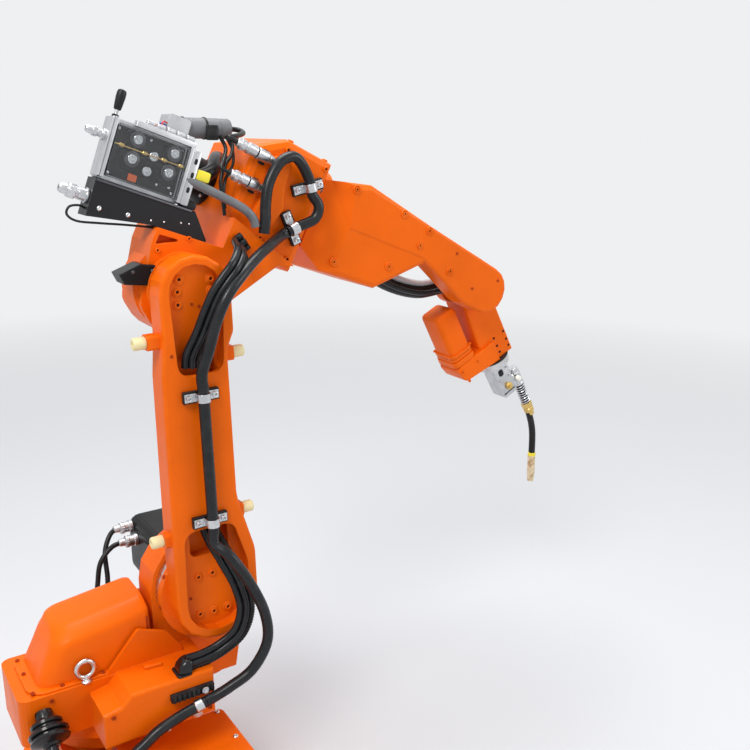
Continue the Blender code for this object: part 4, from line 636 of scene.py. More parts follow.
# Routes of the hoses, as in the part's source
SWIVEL_HOSE = [
    (-166, -200.5, 260.7), (-166, -211.5, 252.5), (-150, -238, 225), (-122, -250, 213), (-76, -257, 216),
    (-30, -258, 240), (5, -256, 260), (52.7, -254.6, 274), (66.3, -254.6, 277), (93.7, -254.6, 283),
]
SHOULDER_HOSE = [
    (94, -254.6, 283.1), (107.3, -254.6, 286), (140, -258, 298), (184, -262, 321), (214, -266, 370),
    (213, -266, 426), (192, -261, 486), (160, -245, 548), (139.5, -221.6, 570.8), (138.9, -221.6, 598.5),
]
SHOULDER_HARNESS = [
    (74, -216, 347.8), (108, -216.5, 348.2), (145, -219.5, 359.5), (177, -226, 385), (190, -230, 430),
    (182, -226.5, 480), (165, -208, 528), (150, -184, 570), (145, -175.5, 602), (144, -175.5, 622),
]
ARM_HOSE = [(138.9, -221.6, 598.8), (138.6, -221.6, 612.8), (133.7, -221.6, 844.7), (133.4, -221.6, 858.7)]
ELBOW_HOSE = [
    (133.4, -221.6, 859), (132.8, -221.6, 886.7), (145.3, -226, 926.9), (161.4, -226.5, 974.7),
    (182.3, -226.5, 1014.6), (213.6, -215, 1043.7), (258.8, -186, 1069.2), (299.9, -156, 1084.5),
    (340.7, -123.6, 1097), (353.6, -123.6, 1101.9),
]
ELBOW_HARNESS = [
    (125.7, -189.5, 891.6), (128.3, -192, 914.6), (142, -204, 949.7), (154.5, -212.5, 985.4),
    (170, -215, 1017), (188, -216.5, 1040.5), (208.5, -212, 1061), (229, -187, 1078), (243.1, -146, 1087.1),
    (250.2, -141.4, 1090.2), (258.3, -141.4, 1095.1),
]
LOOP_HOSE = [
    (353.8, -123.6, 1102), (366.9, -123.6, 1106.9), (380, -123.6, 1111.8), (409, -128, 1123.9),
    (417, -128, 1146.8), (406.4, -123.6, 1166.6), (403.5, -123.6, 1180.3), (400.6, -123.6, 1194),
    (385.6, -127, 1220.5), (366.8, -129, 1236.6), (338.2, -132, 1228.5), (313.2, -136, 1196.3),
    (302.5, -140, 1161.4), (298.9, -142.4, 1127.4), (295.4, -142.4, 1104.6),
]
FEEDER_HOSE = [
    (280.4, -141, 1117.2), (275.8, -140.6, 1132.5), (258.7, -140.8, 1149.7), (226.4, -127, 1170.2),
    (165.4, -111, 1202.9),
]
TORCH_CABLE_UPPER = [
    (169, -88, 1212.7), (192.7, -88, 1203.8), (227.3, -80, 1212.3), (250.5, -44, 1227.5),
    (268.9, -8, 1232.9), (280, 0, 1228.4), (289, 0, 1224), (303.3, 0, 1216.8), (357, 0, 1190.1),
    (428.6, 0, 1154.4),
]
TORCH_CABLE_LOWER = [
    (473.3, 0, 1132.1), (489.5, 0, 1124), (505.1, 0, 1115.1), (547.6, 14, 1068.2), (600.6, 24, 1006),
    (665.8, 22, 957.9), (742.7, 12, 933), (812.4, 3, 938.4), (865.4, 0, 932.6), (878.5, 0, 906.8),
    (885.3, 0, 893.4),
]
POWER_CABLE = [
    (-15, 30, 352.3), (-15, 30, 366), (-4, 45, 410), (8, 55, 450), (34, 62, 474), (60, 64, 478),
    (87.1, 64, 478),
]
SIGNAL_CABLE = [
    (8, 30, 352.3), (8, 30, 366), (18, 50, 415), (24, 75, 460), (42, 90, 490), (62, 94, 496),
    (87.1, 94, 496),
]
TORCH_NECK = [
    (1075.6, 0, 620), (1081.5, 0, 608), (1087.2, 0, 595), (1093.2, 0, 580), (1099.8, 0, 560),
    (1104, 0, 540), (1105.8, 0, 520), (1106.2, 0, 497), (1106.2, 0, 472),
]
# The strands of a harness: how far across, how far outward, and radius
STRANDS = ((10.5, 0, 6.4), (-1, 3.6, 5.6), (-12.2, -0.2, 6), (-0.5, -6, 4.4))
HOSE_RADIUS = 10


# Hoses and their clamps
def make_hoses():
    """Smooth hoses in place of the faceted solids, and harnesses as bundles of thin cables."""
    for name, body, route, radius, material, stands_for in (
        ("swivel_hose_skin", "swivel", SWIVEL_HOSE, HOSE_RADIUS, HOSE, "swivel_hose"),
        ("arm_hose_skin", "lower_arm", ARM_HOSE, HOSE_RADIUS, HOSE, "arm_hose"),
        ("loop_hose_skin", "elbow", LOOP_HOSE, HOSE_RADIUS, HOSE, "loop_hose"),
        ("feeder_hose_skin", "elbow", FEEDER_HOSE, 8, GREY_HOSE, "feeder_hose"),
        ("torch_cable_upper_skin", "elbow", TORCH_CABLE_UPPER, 12.8, CONDUIT, "torch_cable_upper"),
        ("motor_power_cable_skin", "swivel", POWER_CABLE, 5, CONDUIT, "motor_power_cable"),
        ("motor_signal_cable_skin", "swivel", SIGNAL_CABLE, 5, CONDUIT, "motor_signal_cable"),
    ):
        add(name, body, material, tubed(ROW, route, radius), stands_for)
    hose = add("shoulder_hose_skin", None, HOSE, tubed(ROW, SHOULDER_HOSE, HOSE_RADIUS), "shoulder_hose")
    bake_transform(hose)
    hose = add("elbow_hose_skin", None, HOSE, tubed(ROW, ELBOW_HOSE, HOSE_RADIUS), "elbow_hose")
    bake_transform(hose)
    hose = add(
        "torch_cable_lower_skin", None, CONDUIT, tubed(ROW, TORCH_CABLE_LOWER, 15.8, 22),
        "torch_cable_lower",
    )
    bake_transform(hose)
    for label, route, bodies, ends in (
        (
            "shoulder_harness", SHOULDER_HARNESS, ("swivel", "lower_arm"),
            ((0.12, -0.21, 0.35), (0.15, -0.18, 0.57)),
        ),
        (
            "elbow_harness", ELBOW_HARNESS, ("lower_arm", "elbow"),
            ((0.13, -0.2, 0.93), (0.235, -0.16, 1.085)),
        ),
    ):
        for index, (across, outward, radius) in enumerate(STRANDS):
            ribs = 0.9 if index == 2 else 0
            strand = add(
                f"{label}_strand_{index}", None, CONDUIT if ribs else HOSE,
                tubed(ROW, route, radius, 14, ribs, 4.4, (across, outward)),
                *((label,) if index == 0 else ()),
            )
            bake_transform(strand)


def clamp_strap(mesh, place, radius, thickness, reach, foot, width):
    """A bent strap over a hose: Z of place runs along the hose and Y points away from the casting."""
    outer, top = radius + thickness, foot + thickness
    arc = circle(28)[:15]
    line = [(-reach, top), (-outer - 1, top), (-outer, top + 1)]
    line += [(outer * a, outer * b) for a, b in reversed(arc)]
    line += [(outer, top + 1), (outer + 1, top), (reach, top), (reach, foot), (radius, foot)]
    line += [(radius * a, radius * b) for a, b in arc]
    line += [(-radius, foot), (-reach, foot)]
    close_rows(mesh, [
        row_of(mesh, place, [(a, b, end) for a, b in line])
        for end in (-width / 2, width / 2)
    ])


def make_clamp(label, body, place):
    """A rubber block under a zinc strap, held by screws; it stands for the CAD clamp."""
    inner = HOSE_RADIUS + 0.3
    foot = -inner
    block = [(-32.5, foot - 7.8), (32.5, foot - 7.8), (32.5, foot - 0.2), (-32.5, foot - 0.2)]
    levels = ((-10.5, 0.8), (-9.8, 0), (9.8, 0), (10.5, 0.8))
    add(label + "_block", body, PLASTIC, each(stack, [place], block, levels), label)
    add(label + "_strap", body, ZINC, each(clamp_strap, [place], inner, 1.8, 31, foot, 15))
    outward = Matrix(((0, 1, 0), (0, 0, 1), (1, 0, 0))).to_4x4()
    heads = [shifted(place, side * 23.5, foot + 1.9) @ outward for side in (-1, 1)]
    add(label + "_screws", body, ZINC, each(socket_screw, heads, 5.2, 5.2))


def clamp_place(place, x, y, z, along):
    """The place of a clamp: Z along the hose, Y out of the casting on the near side."""
    z_axis, y_axis = Vector(along).normalized(), Vector((0, -1, 0))
    turned_in = Matrix((y_axis.cross(z_axis), y_axis, z_axis)).transposed().to_4x4()
    return shifted(place, x, y, z) @ turned_in


def make_swivel_clip():
    """The hose clip on the shelf: a ribbed bar over the hose, a strap round it and a tab below."""
    place = clamp_place(ROW, 80, -254.6, 280, (1.0, 0.0, 0.22))
    inner = HOSE_RADIUS + 0.3
    bar = on(ROW, "near", 75, -236.4, 301.5)

    def ribbed(mesh):
        slab(mesh, bar, rectangle(-41, 41, -7.5, 7.5, 2), 0, 8, 1)
        for step in range(9):
            middle = -36 + step * 9
            slab(mesh, bar, rectangle(middle - 2.8, middle + 2.8, -6.6, 6.6, 1), 8.4, 11.8, 0.8)

    add("swivel_clip_bar", "swivel", PLASTIC, ribbed, "swivel_hose_clamp")

    def strap(mesh):
        turn_ring(mesh, place, inner, 16, 1.6, 32)
        slab(mesh, on(ROW, "near", 83, -236.4, 256.5), rectangle(-9, 9, -13, 14, 3), 0, 2.2)
        slab(mesh, on(ROW, "near", 83, -238.6, 266), rectangle(-8, 8, -6, 6, 2), 0, 8.5)

    add("swivel_clip_strap", "swivel", ZINC, strap)
    heads = [on(ROW, "near", 83, -238.8, 251.5), on(ROW, "near", 97, -248.3, 301.5)]
    add("swivel_clip_screws", "swivel", ZINC, each(hex_bolt, heads, 5, 4))


def make_clamps():
    make_swivel_clip()
    for label, height in (("arm_hose_clamp_lower", 163), ("arm_hose_clamp_upper", 395)):
        make_clamp(label, "lower_arm", clamp_place(ARM, -8, -221.6, height, (0, 0, 1)))
    for label, height, along in (("lower", 180, (0.65, 0, 0.7)), ("upper", 262, (-0.62, 0, 0.78))):
        make_clamp("elbow_hose_clamp_" + label, "elbow", clamp_place(ELBOW, 166, -123.6, height, along))


# Base and swivel
def make_base_details():
    lid = [on(ROW, "top", x, y, 179.2) for x in (-152, -52, 52, 152) for y in (-332, -158)]
    lid += [on(ROW, "top", x, -245, 179.2) for x in (-152, 152)]
    add("lid_screws", "base", ZINC, each(dome_screw, lid, 5.2, 2.6))
    add("lid_gasket", "base", PLASTIC, slabs((
        on(ROW, "top", 0, 0, 167.6), rectangle(-161.2, 161.2, -341.2, -149.2, 12), -1.6, 0.4, 0.3,
    )))
    corners = [on(ROW, "rear", -164.2, -240 + a * 40, 96.5 + b * 40) for a in (-1, 1) for b in (-1, 1)]
    add("side_panel_screws", "base", ZINC, each(dome_screw, corners, 3.4, 1.6))

    def panel(mesh):
        place = on(ROW, "rear", -164.1, -240, 96.5)
        slab(mesh, place, rectangle(-30, 30, -30, 30, 6), 0, 1.8, 0.8)
        for step in range(4):
            slab(mesh, place, rectangle(-22, 22, -19 + step * 12, -15 + step * 12, 1.8), 1.8, 3.4)

    add("side_panel_vent", "base", DARK_FRAME, panel)
    for label, x in (("power", -50), ("signal", 50)):
        place = on(ROW, "near", x, -374.1, 96.5)

        def mouth(mesh):
            slab(mesh, place, rectangle(-18, 18, -30, 30, 4), 0, 1.6, 0.5)
            for row in range(6):
                for column in (-1, 0, 1):
                    spot = shifted(place, column * 9, -21 + row * 8.4, 1.6)
                    turn(mesh, spot, [(2.6, 0), (2.6, 1.2), (1.2, 1.2), (0, 0.4)], 12)

        add(f"{label}_socket_insert", "base", PLASTIC, mouth)

        def lever(mesh):
            for side in (-1, 1):
                rail = on(ROW, "front" if side > 0 else "rear", x + side * 26.2, -356, 96.5)
                slab(mesh, rail, rectangle(-4, 4, -34, 34, 3), 0, 2.2, 0.6)
                turn(mesh, rail, [(6.2, 0), (6.2, 3.4), (5.2, 4.2), (0, 4.2)], 20)

        add(f"{label}_socket_lever", "base", ZINC, lever)
    add("flange_screws", "base", DARK_STEEL, each(socket_screw, facing(
        ROW, "top", 24.2, ((149, 55), (149, -55), (55, 149), (-55, 149), (-149, 55)),
    ), 6, 6))


def hood_rings(mesh, levels, place=(-169, 44, -138, -1)):
    """Rings of the motor hood from (height, rise, rear, front, near, far inset, corner) levels."""
    rear, front, near, far = place
    rows = []
    for height, rise, from_rear, from_front, from_near, from_far, radius in levels:
        corners = [
            (rear + from_rear, near + from_near, radius), (front - from_front, near + from_near, 13),
            (front - from_front, far - from_far, 13), (rear + from_rear, far - from_far, radius),
        ]
        outline = []
        for index, (x, y, corner) in enumerate(corners):
            here = Vector((x, y))
            back = (Vector(corners[index - 1][:2]) - here).normalized()
            ahead = (Vector(corners[(index + 1) % 4][:2]) - here).normalized()
            centre = here + (back + ahead) * corner
            for step in range(9):
                angle = pi / 2 * step / 8
                outline.append(centre - ahead * corner * cos(angle) - back * corner * sin(angle))
        base = 330.3 + height
        rows.append(row_of(mesh, ROW, [
            (x, y, base + rise * (x - rear) / (front - rear))
            for x, y in outline
        ]))
    close_rows(mesh, rows)


def make_swivel_details():
    def hood(mesh):
        hood_rings(mesh, [
            (0, 0, 0, 0, 0, 0, 26), (12, 3, 4.5, 1, 0.2, 0.2, 27), (40, 15, 18.5, 2, 0.6, 0.6, 30),
            (62, 23, 29, 3, 1, 1, 32), (70, 26, 33, 3, 3, 2, 34), (74.5, 27.5, 36.5, 4, 7, 4, 34),
            (86.5, 28, 40, 6, 26, 12, 32), (89.5, 28, 44, 7, 33, 18, 30), (90.8, 28, 52, 10, 44, 28, 24),
            (91, 28, 75, 30, 60, 50, 12),
        ])

    add("motor_hood_shell", "swivel", ORANGE, hood, "motor_hood")

    def lip(mesh):
        hood_rings(mesh, [
            (0.2, 0, 0, 0, 0, 0, 32), (3, 0, 0, 0, 0, 0, 32), (4, 0, 1.2, 0, 1.2, 0, 31),
            (4, 0, 10, 0, 10, 0, 26),
        ], (-186, 30, -147.5, -1))

    add("motor_hood_lip", "swivel", ORANGE, lip)
    spots = facing(ROW, "top", 334.3, (
        (-178, -139), (-128, -142.5), (-56, -142.5), (-178, -70), (-178, -20),
    ))
    # Hood screws in the darker orange: painted shade of their recesses.
    add("hood_screws", "swivel", ORANGE_PAINTED_SHADE, each(socket_screw, spots, 4, 3))
    # The slot is a thin sheet of darker orange: painted shade where the hood is slotted.
    add("hood_slot", "swivel", ORANGE_PAINTED_SHADE, slabs((
        on(ROW, "near", 33.5, -136.6, 398), rectangle(-2.2, 2.2, -22, 20, 1.5), 0, 0.8, 0.3,
    )))

    def eye(mesh):
        rows = []
        for a, b in circle(48):
            out = Vector((a, 0, b))
            middle = Vector((-87, -145.5, 355)) + out * 15.8
            rows.append(row_of(mesh, ROW, [
                middle + (out * c + Vector((0, d, 0))) * 4.6
                for c, d in circle(16)
            ]))
        ring_rows(mesh, rows)
        turn(mesh, on(ROW, "top", -87, -145.5, 330.3), [
            (10.5, 0), (10.5, 2), (9.2, 3.4), (6.2, 4.5), (5.2, 8.5), (4.5, 10.5),
        ], 32)

    add("lifting_eye_ring", "swivel", STEEL, eye, "lifting_eye")
    aim = Vector((0, -0.8, -0.6))
    wall = Vector((-166, -152.3, 296.88))
    add("hose_boot_bellows", "swivel", BOOT, turned(aimed(ROW, wall - aim * 4, aim), [
        (0, 0), (15, 0), (15.8, 8), (15.8, 14), (18.5, 16.5), (24.5, 18.5), (27.5, 21.5), (27.5, 26.5),
        (24, 29), (24, 31), (31, 33.5), (34.5, 37), (34.5, 41.5), (28.5, 44), (28.5, 46), (33, 48),
        (34.5, 51), (33, 54), (24, 57.5), (17, 60), (15, 64), (12.5, 65.2), (10.8, 64), (0, 63),
    ], 48), "hose_boot")
    add("shoulder_ring_screws", "swivel", DARK_STEEL, each(
        socket_screw, ringed(ROW, "far", (-150, 450), 92.5, 10, -49.7, 9), 5.2, 5.2,
    ))
    motor = [on(ROW, "far", 150 + a * 58, -35.5, 450 + b * 58) for a in (-1, 1) for b in (-1, 1)]
    add("shoulder_motor_screws", "swivel", ZINC, each(socket_screw, motor, 5.2, 6))

    def connectors(mesh):
        for x, y, z in ((86.6, 64, 478), (86.6, 94, 496)):
            place = on(ROW, "rear", x + 0.8, y, z)
            turn(mesh, place, [
                (12.5, 0), (12.5, 6), (10.8, 7.5), (10.8, 16), (11.8, 17), (11.8, 24), (8, 26), (7.2, 36),
                (5.3, 38), (5.3, 30),
            ], 28)
            for spot in spun(place, 18, 11.7, 17.5):
                slab(mesh, spot, rectangle(-0.4, 0.7, -0.8, 0.8), 0, 6, 0.2)

    add("shoulder_motor_connectors", "swivel", ALUMINIUM, connectors)

    def motor_trim(mesh):
        place = on(ROW, "far", 150, 138.4, 450)
        turn(mesh, place, [(45.5, -12), (46.2, -10), (46.2, -6), (44, -4)], 48)
        for spot in spun(place, 4, 36.5, 0.2, pi / 4):
            socket_screw(mesh, spot, 3, 2.4)

    add("shoulder_motor_trim", "swivel", BLACK_PAINT, motor_trim)
    boss = rounded([(-19, -7, 2), (13, -10, 2), (15, -4, 2), (-8, 0, 3), (-11, 6, 3), (-19, 6, 2)])
    add("shelf_boss", "swivel", ORANGE, slabs((on(ROW, "top", 30, -168, 333.2), boss, 0, 6, 2)))
    plugs = [
        on(ROW, "near", -150, -152.3, 318), on(ROW, "near", -68, -236.2, 302),
        on(ROW, "near", 108, -236.2, 256),
    ]
    # Shelf screws in the darker orange: painted shade of their recesses.
    add("shelf_screws", "swivel", ORANGE_PAINTED_SHADE, each(socket_screw, plugs, 4.2, 2.4))
    cone = []
    for x, y in circle(12, radians(15))[1:6]:
        out = Vector((x, y, 0))
        point = out * 152.7 + Vector((0, 0, 247.8))
        cone.append(aimed(ROW, point, out * 0.788 + Vector((0, 0, 0.615)), (0, 0, 1)))
    # Flange screws in the darker orange: painted shade of their recesses.
    add("swivel_flange_screws", "swivel", ORANGE_PAINTED_SHADE, each(socket_screw, cone, 6.2, 4))

    def gland(mesh):
        slab(mesh, on(ROW, "top", 66, -216, 333.3), rectangle(-14, 14, -19, 19, 6), 0, 2.5)
        rows = []
        for reach, half, low, high in (
            (-12, 12, 0, 6), (-8, 15, 0, 16), (0, 16.5, 0, 23.5), (10, 17, 0, 25.5), (12.5, 16, 2, 24.5),
        ):
            bend = min(half, high) * 0.7
            line = rounded([(-half, low, 1), (half, low, 1), (half, high, bend), (-half, high, bend)])
            rows.append(row_of(mesh, ROW, [(68 + reach, -216 + a, 335.5 + b) for a, b in line]))
        close_rows(mesh, rows)

    add("harness_gland", "swivel", BOOT, gland)


# Lower arm
def make_arm_details():
    def floor(w):
        return -193 + (620 - w) * 0.105

    head = [(-24.9, 595.6), (-28.6, 574.5), (-28.5, 552.1), (31.5, 591.2), (32, 571.1), (28.4, 549.9)]
    tops = [on(ARM, "near", x, floor(w) - 0.2, w) for x, w in head]
    tops += facing(ARM, "near", -181.2, (
        (-28.3, 43.3), (-0.9, 44.6), (25, 44), (-30.6, -32.5), (-3.6, -34.2), (24.6, -34.4),
    ))

    def seats(mesh):
        for place in tops:
            turn(mesh, place, [(9.2, -0.6), (9.2, 0.6), (8.2, 1.4), (6.6, 1.4), (6, 0.2), (0, 0.2)], 28)

    add("arm_bolt_seats", "lower_arm", ORANGE, seats)
    painted_bolts("arm_bolts", "lower_arm", tops, 6.4, 3.4)
    small = [
        on(ARM, "near", -3.3, floor(550.1), 550.1), on(ARM, "near", 10, floor(545), 545),
        on(ARM, "near", -46, -181.2, 4), on(ARM, "near", -52, -203.2, 470),
    ]
    # Small holes drawn as darker orange discs: painted shade inside the holes.
    add("arm_small_holes", "lower_arm", ORANGE_PAINTED_SHADE, each(
        turn, small, [(3, 0), (3, 0.7), (2.2, 0.8), (1.8, 0.2), (0, 0.1)], 18,
    ))
    screws = []
    for angle in (150, 186, 222, 258):
        out = Vector((cos(radians(angle)), 0, sin(radians(angle))))
        screws.append(aimed(ARM, out * 96.1 + Vector((0, -154.5, 0)), out))
    # Ring screws in the darker orange: painted shade of their recesses.
    add("arm_ring_screws", "lower_arm", ORANGE_PAINTED_SHADE, each(socket_screw, screws, 4, 2))
    for side, label, heights, wall in ((-1, "rear", (132, 494), 71), (1, "front", (156, 455), 50)):
        for level, height in zip(("lower", "upper"), heights):
            place = on(ARM, "front" if side > 0 else "rear", side * (wall + 16.3), -178, height)
            add(f"{label}_{level}_bumper_pad", "lower_arm", CREAM, turned(place, [
                (0, 0), (10.4, 0), (11, 1), (11, 17.5), (10.6, 20), (9.4, 21.5), (5, 21.7), (4.2, 20.5),
                (4, 16.5), (0, 16.5),
            ], 36), f"{label}_{level}_bumper")
            add(
                f"{label}_{level}_bumper_screw", "lower_arm", ZINC,
                each(dome_screw, [shifted(place, z=16.3)], 3.4, 1.8),
            )


# Elbow
def make_elbow_details():
    screws = facing(ELBOW, "near", -105.2, ((104, 306), (190, 309), (184, 125), (116, 139)))
    screws += [on(ELBOW, "near", 190, -105.2, 160)]
    painted_bolts("block_bolts", "elbow", screws, 5.6, 3.6)
    far = facing(ELBOW, "far", 105.2, ((84, 133), (184, 125), (104, 304), (188, 308)))
    painted_bolts("block_far_bolts", "elbow", far, 5.6, 3.6)
    add("block_far_cover", "elbow", ORANGE, slabs((
        on(ELBOW, "far", 0, 105.2, 0),
        rounded([(-180, 140, 12), (-78, 140, 12), (-78, 290, 12), (-180, 290, 12)]), 0, 3, 1,
    )))
    spots = [on(ELBOW, "far", u, 108.2, w) for u in (86, 172) for w in (148, 215, 282)]
    painted_bolts("block_far_cover_bolts", "elbow", spots, 4.2, 3)
    top = [on(ELBOW, "top", u, y, 325.2) for u in (112, 192) for y in (-85, 85)]
    painted_bolts("block_top_bolts", "elbow", top, 5.6, 3.6)
    painted_bolts("hub_bolts", "elbow", ringed(ELBOW, "far", (0, 0), 60, 10, -30.2, 12), 6, 5)
    add("hub_cap", "elbow", ORANGE, turned(on(ELBOW, "far", 0, -30.2, 0), [
        (46, 0), (46, 3), (44.5, 4.5), (20, 4.5), (18.5, 3.2), (0, 3.2),
    ], 48))
    front = ringed(ELBOW, "front", (0, 250), 88.5, 12, 204.2, 15)
    front = [place for place in front if abs((ELBOW.inverted() @ place.translation).z - 215) < 95]
    add("roll_ring_bolts", "elbow", DARK_STEEL, each(socket_screw, front, 5.2, 5.2))
    add("roll_ring_seam", "elbow", PLASTIC, turned(
        on(ELBOW, "front", 211.2, 0, 250), [(76.2, 0), (77.5, 0.6), (77.5, 2), (76.2, 2.4)], 64,
    ))
    ledge = [
        on(ELBOW, "near", -64, -132.2, 44), on(ELBOW, "near", -20, -132.2, 83.5),
        on(ELBOW, "near", 26, -132.2, 60),
    ]
    painted_bolts("ledge_bolts", "elbow", ledge, 4.2, 3)
    cover = [on(ELBOW, "near", -92, -142.2, -6), on(ELBOW, "near", -62, -142.2, 8)]
    add("stop_cover_screws", "elbow", DARK_STEEL, each(dome_screw, cover, 3.2, 1.6))
    place = on(ELBOW, "rear", 44.7, 52, 206)
    add("roll_motor_body", "elbow", BLACK_PAINT, turned(place, [
        (0, 0), (44.5, 0), (45.5, 1), (45.5, 10), (44, 11.5), (39.8, 12.5), (39.8, 18), (38.5, 18.5),
        (38.5, 20), (39.8, 20.5), (39.8, 86), (38.5, 86.5), (38.5, 88), (39.8, 88.5), (39.8, 108),
        (38, 113), (33, 115.5), (31.5, 114.5), (31.5, 116), (29, 128.5), (26, 129.7), (0, 129.7),
    ], 64), "roll_motor")
    add("roll_motor_screws", "elbow", ZINC, each(socket_screw, spun(place, 4, 41.8, 11.2, pi / 4), 3, 4))
    fittings = (("torch_fitting", 2, 79, 273.5), ("gas_fitting", 12, 79, 219.5))
    for label, start, end, w in fittings:
        place = on(ELBOW, "front", start, -116.3, w)
        length = end - start

        def body(mesh):
            profile = [
                (0, 0), (6.8, 0), (7.8, 1.2), (7.8, 6), (9.8, 7), (9.8, 16.5), (8.6, 17.5), (8.6, 21.5),
                (10.8, 22.8), (10.8, length * 0.52), (9.8, length * 0.535), (9.8, length * 0.56),
                (10.9, length * 0.575), (10.9, length - 13), (9.4, length - 10.5), (8.5, length - 10),
                (7.8, length), (0, length),
            ]
            turn(mesh, place, profile, 48)
            for spot in spun(place, 20, 9.7, 7.8):
                slab(mesh, spot, rectangle(-0.3, 0.6, -0.8, 0.8), 0, 8, 0.2)

        add(label + "_body", "elbow", ALUMINIUM, body, label, slot="bright_steel")
        add(label + "_seam", "elbow", PLASTIC, each(
            turn_ring, [shifted(place, z=length * 0.548)], 9.7, 1.6, 0.9, 40,
        ))
        add(label + "_saddle", "elbow", DARK_FRAME, slabs((
            on(ELBOW, "near", start + 0.8 * length, -105.2, w), rectangle(-6, 6, -14, 14, 2), 0, 3.5,
        )))
    for label, radius, points in (
        ("feed_power_cable", 4.6, [
            (2, -55.7, 297.5), (20, -59, 304), (22, -80, 299), (2, -104, 284), (-14, -115, 274),
            (-6, -116.3, 273.5), (3, -116.3, 273.5),
        ]),
        ("feed_signal_cable", 3.4, [
            (-4, -66, 286), (12, -70, 279), (14, -86, 255), (4, -100, 227), (6, -108, 198), (22, -110, 170),
            (34, -112, 148),
        ]),
        ("feed_gas_tube", 3.6, [
            (-12, -66, 278), (4, -74, 262), (0, -96, 238), (-6, -113, 222), (2, -116.3, 219.5),
            (13, -116.3, 219.5),
        ]),
        ("feed_sense_cable", 2.6, [
            (-1, -66, 282), (18, -74, 264), (21, -92, 238), (14, -103, 208), (18, -110, 183),
            (30, -112, 160),
        ]),
    ):
        add(label, "elbow", CONDUIT, tubed(ELBOW, points, radius, 14))


